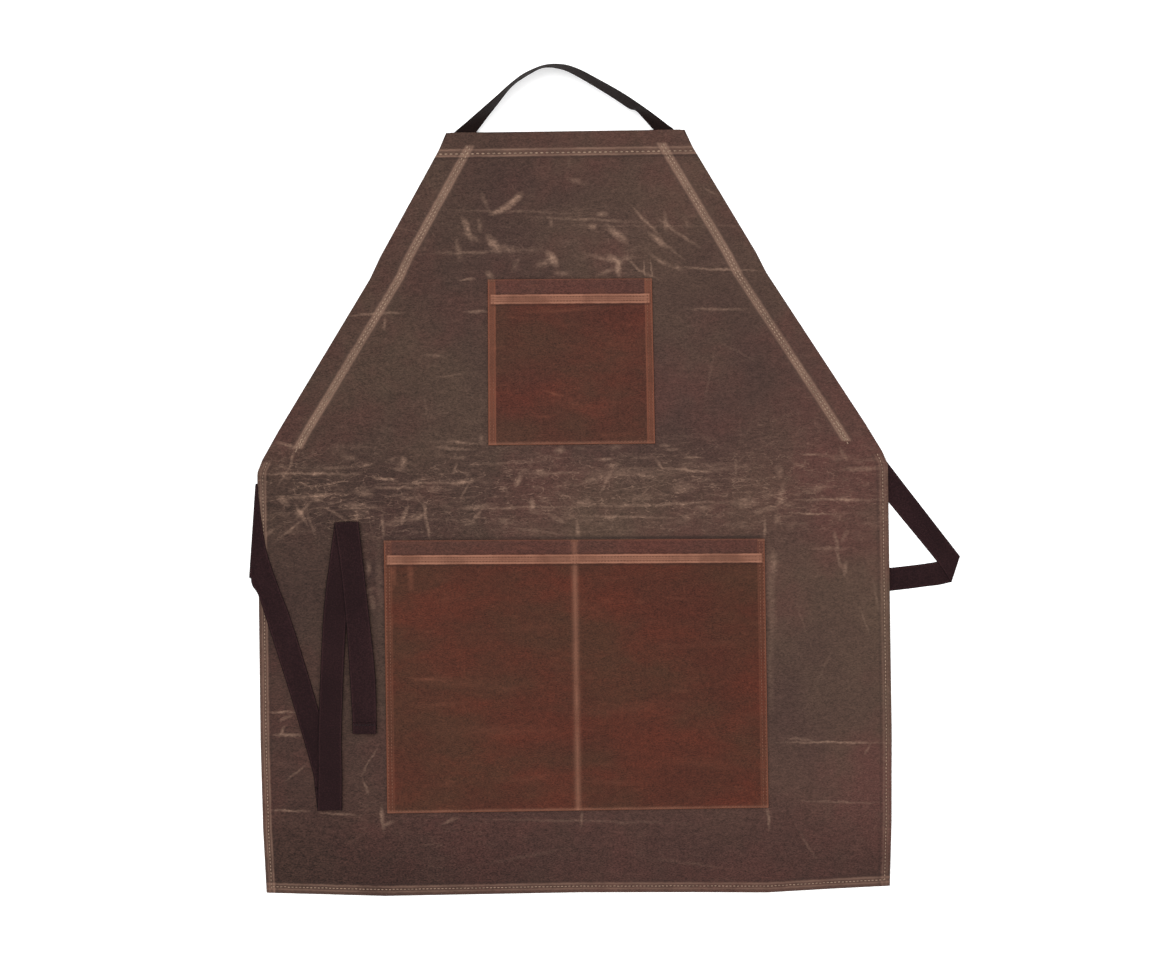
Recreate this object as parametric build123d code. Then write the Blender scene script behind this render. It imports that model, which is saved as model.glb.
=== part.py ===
from build123d import *
import math
import os

# A waxed canvas work apron lying face up on a table, its one long strap laid around it.
# Millimetres. The origin is on the table under the middle of the waist, +Y runs towards
# the neck, +X to the right as one looks down on the front, and +Z up through the cloth.

# Cloth and webbing
canvas_thick = 0.9
pocket_thick = 0.8
strap_thick = 0.7
strap_width = 25.4
layer_gap = 0.1
body_gap = 0.3

# Outline of the body cloth
waist_half = 345.5
waist_y = -5.0
top_half = 131.0
top_y = 363.5
hem_taper = 4.0
side_bend_y = -300.0
hem_corner_y = -467.0
hem_middle_y = -471.5

# The line that the bib folds down on
fold_y = 12.0

# Hems and channels
side_hem = 10.0
side_hem_share = 0.757
side_row = 6.2
bottom_hem = 11.2
bottom_row = 7.1
hem_corner_gap = 0.6
top_hem = 27.0
top_hem_turn = 9.0
top_row = 23.5
channel_ease = 0.35
channel_mouth_y = 31.5
seam_turn = 4.9
seam_row_margin = 0.6
seam_row_drop = 14.5

# Pockets
chest_left, chest_right = -91.5, 90.0
chest_bottom, chest_top = 21.0, 202.5
lower_left, lower_right = -208.0, 209.0
lower_bottom, lower_top = -380.5, -84.0
pocket_ease = 0.2
pocket_seam = 8.0
pocket_hem = 27.0
pocket_row_gap = 3.6
pocket_row_first = 19.5
divider_x = 0.0
divider_half = 2.5

# Sewing thread, each row of stitches one fine rib
thread_width = 0.8
thread_height = 0.25
tack_height = 2.6
tack_length = 9.0
tack_clearance = 2.4

# Strap routes, their folds measured from the waist corner on their own side
left_wrap = (-6.5, -71.0)
left_low_fold = (75.5, -370.5)
left_high_fold = (96.9, -56.6)
left_end = (113.0, -287.3)
left_turn_back = 12.0
end_row_back = 8.4
end_row_margin = 1.5
swivel_inset = 18.3
swivel_clearance = 1.8
right_fold = (71.7, -117.1)
right_tail = 330.0
right_tail_slope = 0.12
right_rise_start = 45.0
right_rise_end = 100.0

# Neck loop: how far inside the slanted edge it leaves the channels, how far it stays flat,
# and the places it passes from the left mouth to the right one. Each place is a share of
# the way from the middle to a mouth, the distance above the top edge, and the lean of the
# webbing in degrees, 0 flat and 90 on edge.
loop_mouth_inset = 15.7
loop_flat = 2.5
loop_route = [
    (-0.898, 14.0, 44.0),
    (-0.773, 27.0, 66.0),
    (-0.569, 49.5, 84.0),
    (-0.418, 62.5, 84.0),
    (-0.249, 71.0, 84.0),
    (-0.027, 70.0, 80.0),
    (0.204, 56.5, 70.0),
    (0.427, 41.5, 66.0),
    (0.649, 27.0, 62.0),
    (0.853, 14.0, 42.0),
]
loop_foot = 0.5

# Heights of the layers above the table
hem_bottom = strap_thick + body_gap
hem_middle = hem_bottom + canvas_thick
front_bottom = hem_middle + canvas_thick
front_top = front_bottom + canvas_thick
pocket_bottom = front_top + pocket_ease + pocket_thick
pocket_top = pocket_bottom + pocket_thick
channel_strap_z = (hem_middle + front_bottom) / 2
first_run = front_top + thread_height + layer_gap
second_run = first_run + strap_thick + body_gap
third_run = second_run + strap_thick + layer_gap
loop_hinge_y = top_y + strap_thick / 2 + body_gap

# The slanted sides of the bib
slope_run = (waist_half - top_half) / (top_y - waist_y)
slope_stretch = math.hypot(1, slope_run)
tunnel_inner = canvas_thick + strap_width + 2 * channel_ease
flap_depth = tunnel_inner + seam_turn


def slab(points, bottom, top):
    # A flat layer with this outline between two heights.
    outline = make_face(Polyline(*points, close=True))
    return extrude(Pos(0, 0, bottom) * outline, amount=top - bottom, dir=(0, 0, 1))


def flip(points, side):
    # The same outline on the right (1) or the left (-1) of the apron.
    return [(side * x, y) for x, y in points]


def rectangle(left, right, bottom, top):
    return [(left, bottom), (right, bottom), (right, top), (left, top)]


def slope_point(inset, y):
    # On the line that runs inset inside the right-hand slanted edge, at this height.
    return (waist_half - (y - waist_y) * slope_run - inset * slope_stretch, y)


def mouth_point(inset):
    # On the square-cut lower end of the right-hand channel.
    x, y = slope_point(0, channel_mouth_y)
    return (x - inset / slope_stretch, y - inset * slope_run / slope_stretch)


def channel_band(outer, inner, side):
    # A band of the channel between two insets, from its lower end to the top edge.
    corners = [mouth_point(outer), slope_point(outer, top_y)]
    corners += [slope_point(inner, top_y), mouth_point(inner)]
    return flip(corners, side)


def side_point(inset, y):
    # On the right-hand side of the skirt, which draws in a little towards the hem.
    if y > side_bend_y:
        return (waist_half - inset, y)
    share = (side_bend_y - y) / (side_bend_y - hem_corner_y)
    return (waist_half - inset - share * hem_taper, y)


def make_bib_panel():
    # The upper cloth, with a channel folded back along each slope and a hem across the top.
    edge_y = fold_y + body_gap / 2
    right = [slope_point(0, edge_y), slope_point(0, top_y)]
    panel = slab(right + flip(right[::-1], -1), front_bottom, front_top)
    for side in (1, -1):
        panel += slab(channel_band(0, flap_depth, side), hem_bottom, hem_middle)
        panel += slab(channel_band(0, canvas_thick, side), hem_middle, front_bottom)
        panel += slab(channel_band(tunnel_inner, flap_depth, side), hem_middle, front_bottom)
    for depth, bottom, top in (
        (top_hem, hem_middle, front_bottom),
        (top_hem_turn, hem_bottom, hem_middle),
    ):
        low_y = top_y - top_hem
        ends = [slope_point(flap_depth, low_y), slope_point(flap_depth, low_y + depth)]
        panel += slab(ends + flip(ends[::-1], -1), bottom, top)
    return panel


def make_skirt_panel():
    # The lower cloth, with a double-turned hem down each side and across the bottom.
    corner = side_point(0, hem_corner_y)
    right = [slope_point(0, fold_y - body_gap / 2), side_point(0, waist_y)]
    right += [side_point(0, side_bend_y), corner]
    outline = right + [(0, hem_middle_y)] + flip(right[::-1], -1)
    panel = slab(outline, front_bottom, front_top)
    hem_low_y = hem_corner_y + bottom_hem + hem_corner_gap
    hem_top_y = waist_y + side_hem_share * side_hem / slope_run
    for side in (1, -1):
        strip = [(waist_half - side_hem, hem_top_y), slope_point(0, hem_top_y)]
        strip += [side_point(0, waist_y), side_point(0, side_bend_y), side_point(0, hem_low_y)]
        strip += [side_point(side_hem, hem_low_y), side_point(side_hem, side_bend_y)]
        panel += slab(flip(strip, side), hem_bottom, front_bottom)
    low = [(-corner[0], hem_corner_y), (0, hem_middle_y), corner]
    inner_x = side_point(0, hem_corner_y + bottom_hem)[0]
    high = [(inner_x, hem_corner_y + bottom_hem), (0, hem_middle_y + bottom_hem)]
    high += [(-inner_x, hem_corner_y + bottom_hem)]
    return panel + slab(low + high, hem_bottom, front_bottom)


def make_pocket(left, right, bottom, top, dividers):
    # A patch pocket: its sides and bottom turned under and sewn down, its mouth hemmed
    # and standing clear of the cloth behind, and a sewn line at each divider.
    pocket = slab(rectangle(left, right, bottom, top), pocket_bottom, pocket_top)
    bands = [
        rectangle(left, left + pocket_seam, bottom, top),
        rectangle(right - pocket_seam, right, bottom, top),
        rectangle(left, right, bottom, bottom + pocket_seam),
    ]
    for x in dividers:
        bands.append(rectangle(x - divider_half, x + divider_half, bottom, top))
    for band in bands:
        pocket += slab(band, front_top, pocket_bottom)
    hem = rectangle(left + pocket_seam, right - pocket_seam, top - pocket_hem, top)
    return pocket + slab(hem, front_top + pocket_ease, pocket_bottom)


def stitch_row(start, end, level):
    # One row of stitches as a fine rib on the surface at this level.
    length = math.dist(start, end)
    side_x = (start[1] - end[1]) / length * thread_width / 2
    side_y = (end[0] - start[0]) / length * thread_width / 2
    corners = [
        (start[0] + side_x, start[1] + side_y),
        (start[0] - side_x, start[1] - side_y),
        (end[0] - side_x, end[1] - side_y),
        (end[0] + side_x, end[1] + side_y),
    ]
    return slab(corners, level, level + thread_height)


def make_channel_thread(side):
    # The seam that closes a channel, carried past the row of the top hem.
    inset = tunnel_inner + seam_row_margin
    hem_row_y = top_y - top_row
    mouth = mouth_point(inset)
    low = flip([mouth, slope_point(inset, hem_row_y - thread_width)], side)
    high = flip([slope_point(inset, hem_row_y + thread_width),
                 slope_point(inset, top_y - seam_row_drop)], side)
    return Compound([stitch_row(*low, front_top), stitch_row(*high, front_top)])


def make_top_hem_thread():
    y = top_y - top_row
    x = slope_point(thread_width, y)[0]
    return stitch_row((-x, y), (x, y), front_top)


def make_side_hem_thread(side):
    low_y = hem_corner_y + bottom_hem
    upper = flip([side_point(side_row, waist_y), side_point(side_row, side_bend_y)], side)
    lower = flip([side_point(side_row, side_bend_y), side_point(side_row, low_y)], side)
    return stitch_row(*upper, front_top) + stitch_row(*lower, front_top)


def make_bottom_hem_thread():
    x = waist_half - hem_taper - side_row
    left = stitch_row((-x, hem_corner_y + bottom_row), (0, hem_middle_y + bottom_row), front_top)
    right = stitch_row((0, hem_middle_y + bottom_row), (x, hem_corner_y + bottom_row), front_top)
    return left + right


def row_spans(left, right, dividers):
    # The stretches of a crosswise pocket row, stopped short of each seam and divider.
    clear = divider_half + thread_width
    marks = [left + pocket_seam + thread_width]
    for x in dividers:
        marks += [x - clear, x + clear]
    marks.append(right - pocket_seam - thread_width)
    return [(marks[i], marks[i + 1]) for i in range(0, len(marks), 2)]


def make_pocket_hem_thread(left, right, top, dividers):
    rows = []
    for start, end in row_spans(left, right, dividers):
        for drop in (pocket_row_first, pocket_row_first + pocket_row_gap):
            rows.append(stitch_row((start, top - drop), (end, top - drop), pocket_top))
    return Compound(rows)


def make_pocket_seam_thread(left, right, bottom, top, dividers):
    margin = (pocket_seam - pocket_row_gap) / 2
    low_y = bottom + thread_width
    high_y = top - tack_height - tack_clearance
    rows = []
    for edge, inward in ((left, 1), (right, -1)):
        for inset in (margin, margin + pocket_row_gap):
            x = edge + inward * inset
            rows.append(stitch_row((x, low_y), (x, high_y), pocket_top))
    for start, end in row_spans(left, right, dividers):
        rows.append(stitch_row((start, bottom + margin), (end, bottom + margin), pocket_top))
    return Compound(rows)


def make_divider_thread():
    low_y = lower_bottom + thread_width
    high_y = lower_top - tack_height - tack_clearance
    rows = []
    for x in (divider_x - divider_half + thread_width, divider_x + divider_half - thread_width):
        rows.append(stitch_row((x, low_y), (x, high_y), pocket_top))
    return Compound(rows)


def make_tack(x, top):
    # A dense bar of stitches across the top of a pocket seam.
    high_y = top - thread_width
    half = tack_length / 2 - thread_width
    bar = rectangle(x - half, x + half, high_y - tack_height, high_y)
    return slab(bar, pocket_top, pocket_top + 2 * thread_height)


def make_lower_tacks():
    half = tack_length / 2
    places = (lower_left + half, divider_x, lower_right - half)
    return Compound([make_tack(x, lower_top) for x in places])


def make_chest_tacks():
    half = tack_length / 2
    return Compound([make_tack(x, chest_top) for x in (chest_left + half, chest_right - half)])


def heading(start, end):
    length = math.dist(start, end)
    return ((end[0] - start[0]) / length, (end[1] - start[1]) / length)


def crease(incoming, outgoing):
    # The direction of the fold line between two runs of a strap that is folded flat.
    length = math.hypot(incoming[0] + outgoing[0], incoming[1] + outgoing[1])
    return ((incoming[0] + outgoing[0]) / length, (incoming[1] + outgoing[1]) / length)


def strap_ends(centre, run, line):
    # Where the strap's two borders meet a line across it: left of the run, then right.
    cross = run[0] * line[1] - run[1] * line[0]
    reach = strap_width / 2 / cross
    left = (centre[0] + line[0] * reach, centre[1] + line[1] * reach)
    right = (centre[0] - line[0] * reach, centre[1] - line[1] * reach)
    return left, right


def flat_run(start, end, start_line, end_line, bottom):
    # A straight flat stretch of strap, cut or folded on a line at each end.
    run = heading(start, end)
    near_left, near_right = strap_ends(start, run, start_line)
    far_left, far_right = strap_ends(end, run, end_line)
    corners = [near_left, near_right, far_right, far_left]
    return slab(corners, bottom, bottom + strap_thick)


def fold_roll(centre, incoming, outgoing, low, high):
    # The half-round turn of a strap about its fold line, from the level of one run (its
    # underside at low) to the level of the next (its underside at high).
    line = crease(incoming, outgoing)
    start, end = strap_ends(centre, incoming, line)
    middle = (low + high + strap_thick) / 2
    outer = (high + strap_thick - low) / 2
    across = heading(start, end)
    away = (-across[1], across[0])
    if away[0] * incoming[0] + away[1] * incoming[1] < 0:
        away = (across[1], -across[0])
    section = Plane(origin=(*start, middle), x_dir=(*away, 0), z_dir=(*across, 0))
    ring = Circle(outer) - Circle(outer - strap_thick)
    half = ring & Rectangle(outer, 2 * outer, align=(Align.MIN, Align.CENTER))
    return extrude(section * half, amount=math.dist(start, end), dir=(*across, 0))


def rounded_end(centre, bottom):
    # The half-round end of a strap that swivels on this centre.
    disc = Pos(centre[0], centre[1], bottom) * Circle(strap_width / 2)
    return extrude(disc, amount=strap_thick, dir=(0, 0, 1))


def from_left_edge(offset):
    return (-waist_half + offset[0], waist_y + offset[1])


def from_right_edge(offset):
    return (waist_half + offset[0], waist_y + offset[1])


def mouth_section(side, back, level):
    # The strap's borders square across the channel's lower mouth, a little inside it.
    corners = []
    for inset in (canvas_thick + channel_ease, tunnel_inner - channel_ease):
        x, y = mouth_point(inset)
        x -= back * slope_run / slope_stretch
        y += back / slope_stretch
        corners.append((side * x, y, level))
    return corners


def across_section(side, y, level):
    # The strap's borders on a line straight across the apron.
    insets = (canvas_thick + channel_ease, tunnel_inner - channel_ease)
    return [(side * slope_point(inset, y)[0], y, level) for inset in insets]


def leaning_section(borders, offset):
    # A four-cornered section between two border points, half a thickness each way.
    first, second = [Vector(*point) for point in borders]
    shift = Vector(*offset) * (strap_thick / 2)
    corners = [first + shift, second + shift, second - shift, first - shift]
    return make_face(Polyline(*corners, close=True))


def make_channel_strap(side):
    # The stretch of strap in one channel, coming down to the table past the lower mouth.
    low = strap_thick / 2
    stations = [
        across_section(side, top_y, channel_strap_z),
        mouth_section(side, body_gap, channel_strap_z),
        across_section(side, fold_y + body_gap / 2, low),
    ]
    return loft([leaning_section(station, (0, 0, 1)) for station in stations], ruled=True)


def make_left_root():
    # The strap out of the left channel: under the side hem, round its edge and down the
    # front as far as the low fold, where the loose stretch begins.
    start_x = -(slope_point(tunnel_inner / 2, fold_y)[0] + slope_run)
    start = (start_x, fold_y - body_gap / 2)
    wrap = from_left_edge(left_wrap)
    low = from_left_edge(left_low_fold)
    down = heading(start, wrap)
    over = heading(wrap, low)
    line = crease(down, over)
    nose = strap_thick / 2
    stop = (low[0] - over[0] * nose, low[1] - over[1] * nose)
    root = flat_run(start, wrap, (1, 0), line, 0)
    root += fold_roll(wrap, down, over, 0, first_run)
    return root + flat_run(wrap, stop, line, (1, 0), first_run)


def make_left_tie():
    # The loose stretch of the left tie, laid back up the first run and down again.
    low = from_left_edge(left_low_fold)
    high = from_left_edge(left_high_fold)
    end = from_left_edge(left_end)
    up = heading(low, high)
    down = heading(high, end)
    line = crease(up, down)
    across = (-down[1], down[0])
    tie = flat_run(low, high, (1, 0), line, second_run)
    nose_start, nose_end = strap_ends(low, up, (1, 0))
    section = Plane(origin=(*nose_start, second_run + strap_thick / 2),
                    x_dir=(0, 1, 0), z_dir=(1, 0, 0))
    tie += extrude(section * Circle(strap_thick / 2), amount=math.dist(nose_start, nose_end),
                   dir=(math.copysign(1, nose_end[0] - nose_start[0]), 0, 0))
    tie += fold_roll(high, up, down, second_run, third_run)
    return tie + flat_run(high, end, line, across, third_run)


def make_end_turn(end, run, bottom):
    # The strap's end turned over on itself and sewn down.
    back = (end[0] - run[0] * left_turn_back, end[1] - run[1] * left_turn_back)
    across = (-run[1], run[0])
    return flat_run(back, end, across, across, bottom)


def make_left_end_turn():
    end = from_left_edge(left_end)
    run = heading(from_left_edge(left_high_fold), end)
    return make_end_turn(end, run, third_run + strap_thick)


def make_right_tie():
    # The right tie: flat under the waist corner, up onto the level of its fold, and back
    # along the table beneath the skirt.
    swivel = (waist_half - swivel_inset, fold_y - strap_width / 2 - swivel_clearance)
    fold = from_right_edge(right_fold)
    out = heading(swivel, fold)
    back = heading((0, 0), (-1, -right_tail_slope))
    tail = (fold[0] + back[0] * right_tail, fold[1] + back[1] * right_tail)
    square = (-out[1], out[0])
    rise_start = (swivel[0] + out[0] * right_rise_start, swivel[1] + out[1] * right_rise_start)
    rise_end = (swivel[0] + out[0] * right_rise_end, swivel[1] + out[1] * right_rise_end)
    upper = strap_thick + layer_gap
    tie = rounded_end(swivel, 0) + flat_run(swivel, rise_start, square, square, 0)
    sections = []
    for centre, level in ((rise_start, 0), (rise_end, upper)):
        ends = strap_ends(centre, out, square)
        borders = [(*end, level + strap_thick / 2) for end in ends]
        sections.append(leaning_section(borders, (0, 0, 1)))
    tie += loft(sections, ruled=True)
    line = crease(out, back)
    tie += flat_run(rise_end, fold, square, line, upper)
    tie += fold_roll(fold, out, back, 0, upper)
    return tie + flat_run(fold, tail, line, (-back[1], back[0]), 0)


def loop_mouth_x():
    # Where the middle of the strap leaves the right-hand channel.
    return slope_point(loop_mouth_inset, loop_hinge_y)[0]


def loop_mouth(side, out):
    # The strap flat across the top edge at one mouth, this far out along the channel.
    half = strap_width * slope_stretch / 2
    middle = loop_mouth_x() - out * slope_run
    y = loop_hinge_y + out
    outer = (side * (middle + half), y, channel_strap_z)
    inner = (side * (middle - half), y, channel_strap_z)
    return ((outer, inner), (0, 0, 1))


def loop_stations():
    # Border points of the neck loop and the direction of its thickness at each place.
    mouth_x = loop_mouth_x()
    places = [(-mouth_x, loop_hinge_y, 0.0)]
    places += [(share * mouth_x, top_y + rise, lean) for share, rise, lean in loop_route]
    places += [(mouth_x, loop_hinge_y, 0.0)]
    stations = [loop_mouth(-1, 0), loop_mouth(-1, loop_flat)]
    for i in range(1, len(places) - 1):
        x, y, lean = places[i]
        run = heading(places[i - 1][:2], places[i + 1][:2])
        lean = math.radians(lean)
        reach = strap_width / 2 * math.cos(lean)
        rise = strap_width * math.sin(lean)
        foot = loop_foot + strap_thick / 2
        outer = (x - run[1] * reach, y + run[0] * reach, foot)
        inner = (x + run[1] * reach, y - run[0] * reach, foot + rise)
        face = (-run[1] * math.sin(lean), run[0] * math.sin(lean), math.cos(lean))
        stations.append(((outer, inner), face))
    return stations + [loop_mouth(1, loop_flat), loop_mouth(1, 0)]


def make_neck_loop():
    # The stretch over the wearer's neck, flat at both mouths and on edge between them.
    sections = [leaning_section(borders, face) for borders, face in loop_stations()]
    return loft(sections, ruled=True)


def make_end_thread():
    # The row that holds the left tie's turned end.
    end = from_left_edge(left_end)
    run = heading(from_left_edge(left_high_fold), end)
    back = (end[0] - run[0] * end_row_back, end[1] - run[1] * end_row_back)
    left, right = strap_ends(back, run, (-run[1], run[0]))
    level = third_run + 2 * strap_thick
    margin = end_row_margin / strap_width
    start = (left[0] + (right[0] - left[0]) * margin, left[1] + (right[1] - left[1]) * margin)
    stop = (right[0] - (right[0] - left[0]) * margin, right[1] - (right[1] - left[1]) * margin)
    return stitch_row(start, stop, level)


parts = {
    "bib_panel": make_bib_panel(),
    "skirt_panel": make_skirt_panel(),
    "chest_pocket": make_pocket(chest_left, chest_right, chest_bottom, chest_top, []),
    "lower_pocket": make_pocket(lower_left, lower_right, lower_bottom, lower_top, [divider_x]),
    "neck_loop": make_neck_loop(),
    "channel_strap_left": make_channel_strap(-1),
    "channel_strap_right": make_channel_strap(1),
    "tie_left_root": make_left_root(),
    "tie_left": make_left_tie(),
    "tie_left_end_turn": make_left_end_turn(),
    "tie_right": make_right_tie(),
    "top_hem_thread": make_top_hem_thread(),
    "channel_thread_left": make_channel_thread(-1),
    "channel_thread_right": make_channel_thread(1),
    "side_hem_thread_left": make_side_hem_thread(-1),
    "side_hem_thread_right": make_side_hem_thread(1),
    "bottom_hem_thread": make_bottom_hem_thread(),
    "chest_pocket_hem_thread": make_pocket_hem_thread(chest_left, chest_right, chest_top, []),
    "chest_pocket_seam_thread": make_pocket_seam_thread(
        chest_left, chest_right, chest_bottom, chest_top, []),
    "chest_pocket_tacks": make_chest_tacks(),
    "lower_pocket_hem_thread": make_pocket_hem_thread(
        lower_left, lower_right, lower_top, [divider_x]),
    "lower_pocket_seam_thread": make_pocket_seam_thread(
        lower_left, lower_right, lower_bottom, lower_top, [divider_x]),
    "lower_pocket_divider_thread": make_divider_thread(),
    "lower_pocket_tacks": make_lower_tacks(),
    "tie_left_end_thread": make_end_thread(),
}

os.makedirs("parts", exist_ok=True)
for node, shape in parts.items():
    export_step(shape, f"parts/{node}.step")
    print(node, round(shape.volume, 1))
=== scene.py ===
import math

import bpy
import numpy as np
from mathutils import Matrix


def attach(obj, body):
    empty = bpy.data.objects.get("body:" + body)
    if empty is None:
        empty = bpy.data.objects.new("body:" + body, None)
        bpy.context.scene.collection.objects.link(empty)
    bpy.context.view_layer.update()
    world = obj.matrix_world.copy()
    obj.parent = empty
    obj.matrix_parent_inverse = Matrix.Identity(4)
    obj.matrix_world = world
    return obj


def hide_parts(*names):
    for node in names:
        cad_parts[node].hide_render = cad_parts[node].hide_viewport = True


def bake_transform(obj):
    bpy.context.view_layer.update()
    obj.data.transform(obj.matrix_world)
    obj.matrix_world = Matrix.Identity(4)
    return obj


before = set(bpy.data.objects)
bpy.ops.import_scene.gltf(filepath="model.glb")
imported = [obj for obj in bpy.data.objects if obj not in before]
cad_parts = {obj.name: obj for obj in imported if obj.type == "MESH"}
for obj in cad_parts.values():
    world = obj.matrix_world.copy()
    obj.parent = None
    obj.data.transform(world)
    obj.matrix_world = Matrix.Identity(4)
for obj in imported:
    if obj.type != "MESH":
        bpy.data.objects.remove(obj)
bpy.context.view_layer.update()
mm = 0.001    # in metres. Sizes are in millimetres where no note says otherwise


def smoothStep(value, low, high):
    # 0 below low and 1 above high, easing in and out between them.
    share = np.clip((value - low) / (high - low), 0.0, 1.0)
    return share * share * (3.0 - 2.0 * share)


def hump(value, centre, spread):
    # A bell of height 1 at centre.
    return np.exp(-((value - centre) / spread) ** 2)


def roundOff(distance, reach):
    # A quarter circle: 0 at the edge and 1 from reach inward.
    return np.sqrt(1.0 - (1.0 - np.clip(distance / reach, 0.0, 1.0)) ** 2)


waveValues = {"count": 7, "shorter": 0.72, "weaker": 0.8}


def waves(x, y, seed, longest):
    # A gentle uneven surface from -1 to 1: a sum of sine waves, each shorter and weaker than
    # the one before, each with its own heading and start.
    draw = np.random.default_rng(seed)
    total = np.zeros(np.broadcast(x, y).shape)
    size = 0.0
    for k in range(waveValues["count"]):
        length = longest * waveValues["shorter"] ** k
        heading = draw.uniform(0, math.tau)
        phase = draw.uniform(0, math.tau)
        weight = waveValues["weaker"] ** k
        along = x * math.cos(heading) + y * math.sin(heading)
        total = total + weight * np.sin(along * math.tau / length + phase)
        size += weight
    return total / size


def stepsAlong(points):
    # The distance along a line to each of its points.
    return np.concatenate([[0.0], np.cumsum(np.linalg.norm(np.diff(points, axis=0), axis=1))])


def quads(index):
    # The four-cornered faces of a grid of vertex numbers, facing along columns x rows.
    return np.stack([index[:-1, :-1], index[:-1, 1:], index[1:, 1:], index[1:, :-1]], -1).reshape(-1, 4)


def meshPiece(name, points, faces, material, attributes=None, uv=None):
    # points is (n, 3) in millimetres; faces is (m, 4). An attribute has one value a point.
    mesh = bpy.data.meshes.new(name)
    mesh.vertices.add(len(points))
    mesh.vertices.foreach_set("co", (np.asarray(points) * mm).astype(np.float32).ravel())
    faces = np.asarray(faces, np.int32)
    mesh.loops.add(faces.size)
    mesh.loops.foreach_set("vertex_index", faces.ravel())
    mesh.polygons.add(len(faces))
    mesh.polygons.foreach_set("loop_start", np.arange(0, faces.size, faces.shape[1], dtype=np.int32))
    mesh.update(calc_edges=True)
    mesh.polygons.foreach_set("use_smooth", np.ones(len(faces), bool))
    for key, values in (attributes or {}).items():
        layer = mesh.attributes.new(key, "FLOAT", "POINT")
        layer.data.foreach_set("value", np.asarray(values, np.float32).ravel())
    if uv is not None:
        layer = mesh.uv_layers.new(name="cloth")
        layer.data.foreach_set("uv", np.asarray(uv, np.float32)[faces.ravel()].ravel())
    mesh.validate()
    piece = bpy.data.objects.new(name, mesh)
    bpy.context.scene.collection.objects.link(piece)
    mesh.materials.append(material)
    return piece


def closedSheet(top, bottom):
    # Two grids of the same size, (rows, columns, 3), joined all round: the border of the
    # lower one is the border of the upper one. The upper one faces along columns x rows.
    rows, columns = top.shape[:2]
    upper = np.arange(rows * columns).reshape(rows, columns)
    lower = upper.copy()
    inner = np.arange((rows - 2) * (columns - 2)).reshape(rows - 2, columns - 2)
    lower[1:-1, 1:-1] = inner + rows * columns
    points = np.concatenate([top.reshape(-1, 3), bottom[1:-1, 1:-1].reshape(-1, 3)])
    faces = np.concatenate([quads(upper), quads(lower)[:, ::-1]])
    return points, faces


def sheetValues(values):
    # One value a point of closedSheet, from a grid of values.
    return np.concatenate([values.ravel(), values[1:-1, 1:-1].ravel()])


class Value:
    # A shader socket. Sums and products of values add their Math nodes.
    def __init__(self, graph, socket):
        self.graph = graph
        self.socket = socket

    def maths(self, operation, *others):
        # This value first, then the others.
        return self.graph.add("ShaderNodeMath", {"operation": operation}, [self, *others])

    def fromMaths(self, operation, other):
        # The other one first, for the reflected forms.
        return self.graph.add("ShaderNodeMath", {"operation": operation}, [other, self])

    def __add__(self, other):
        return self.maths("ADD", other)

    def __radd__(self, other):
        return self.fromMaths("ADD", other)

    def __sub__(self, other):
        return self.maths("SUBTRACT", other)

    def __rsub__(self, other):
        return self.fromMaths("SUBTRACT", other)

    def __mul__(self, other):
        return self.maths("MULTIPLY", other)

    def __rmul__(self, other):
        return self.fromMaths("MULTIPLY", other)

    def __truediv__(self, other):
        return self.maths("DIVIDE", other)

    def __rtruediv__(self, other):
        return self.fromMaths("DIVIDE", other)


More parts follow.
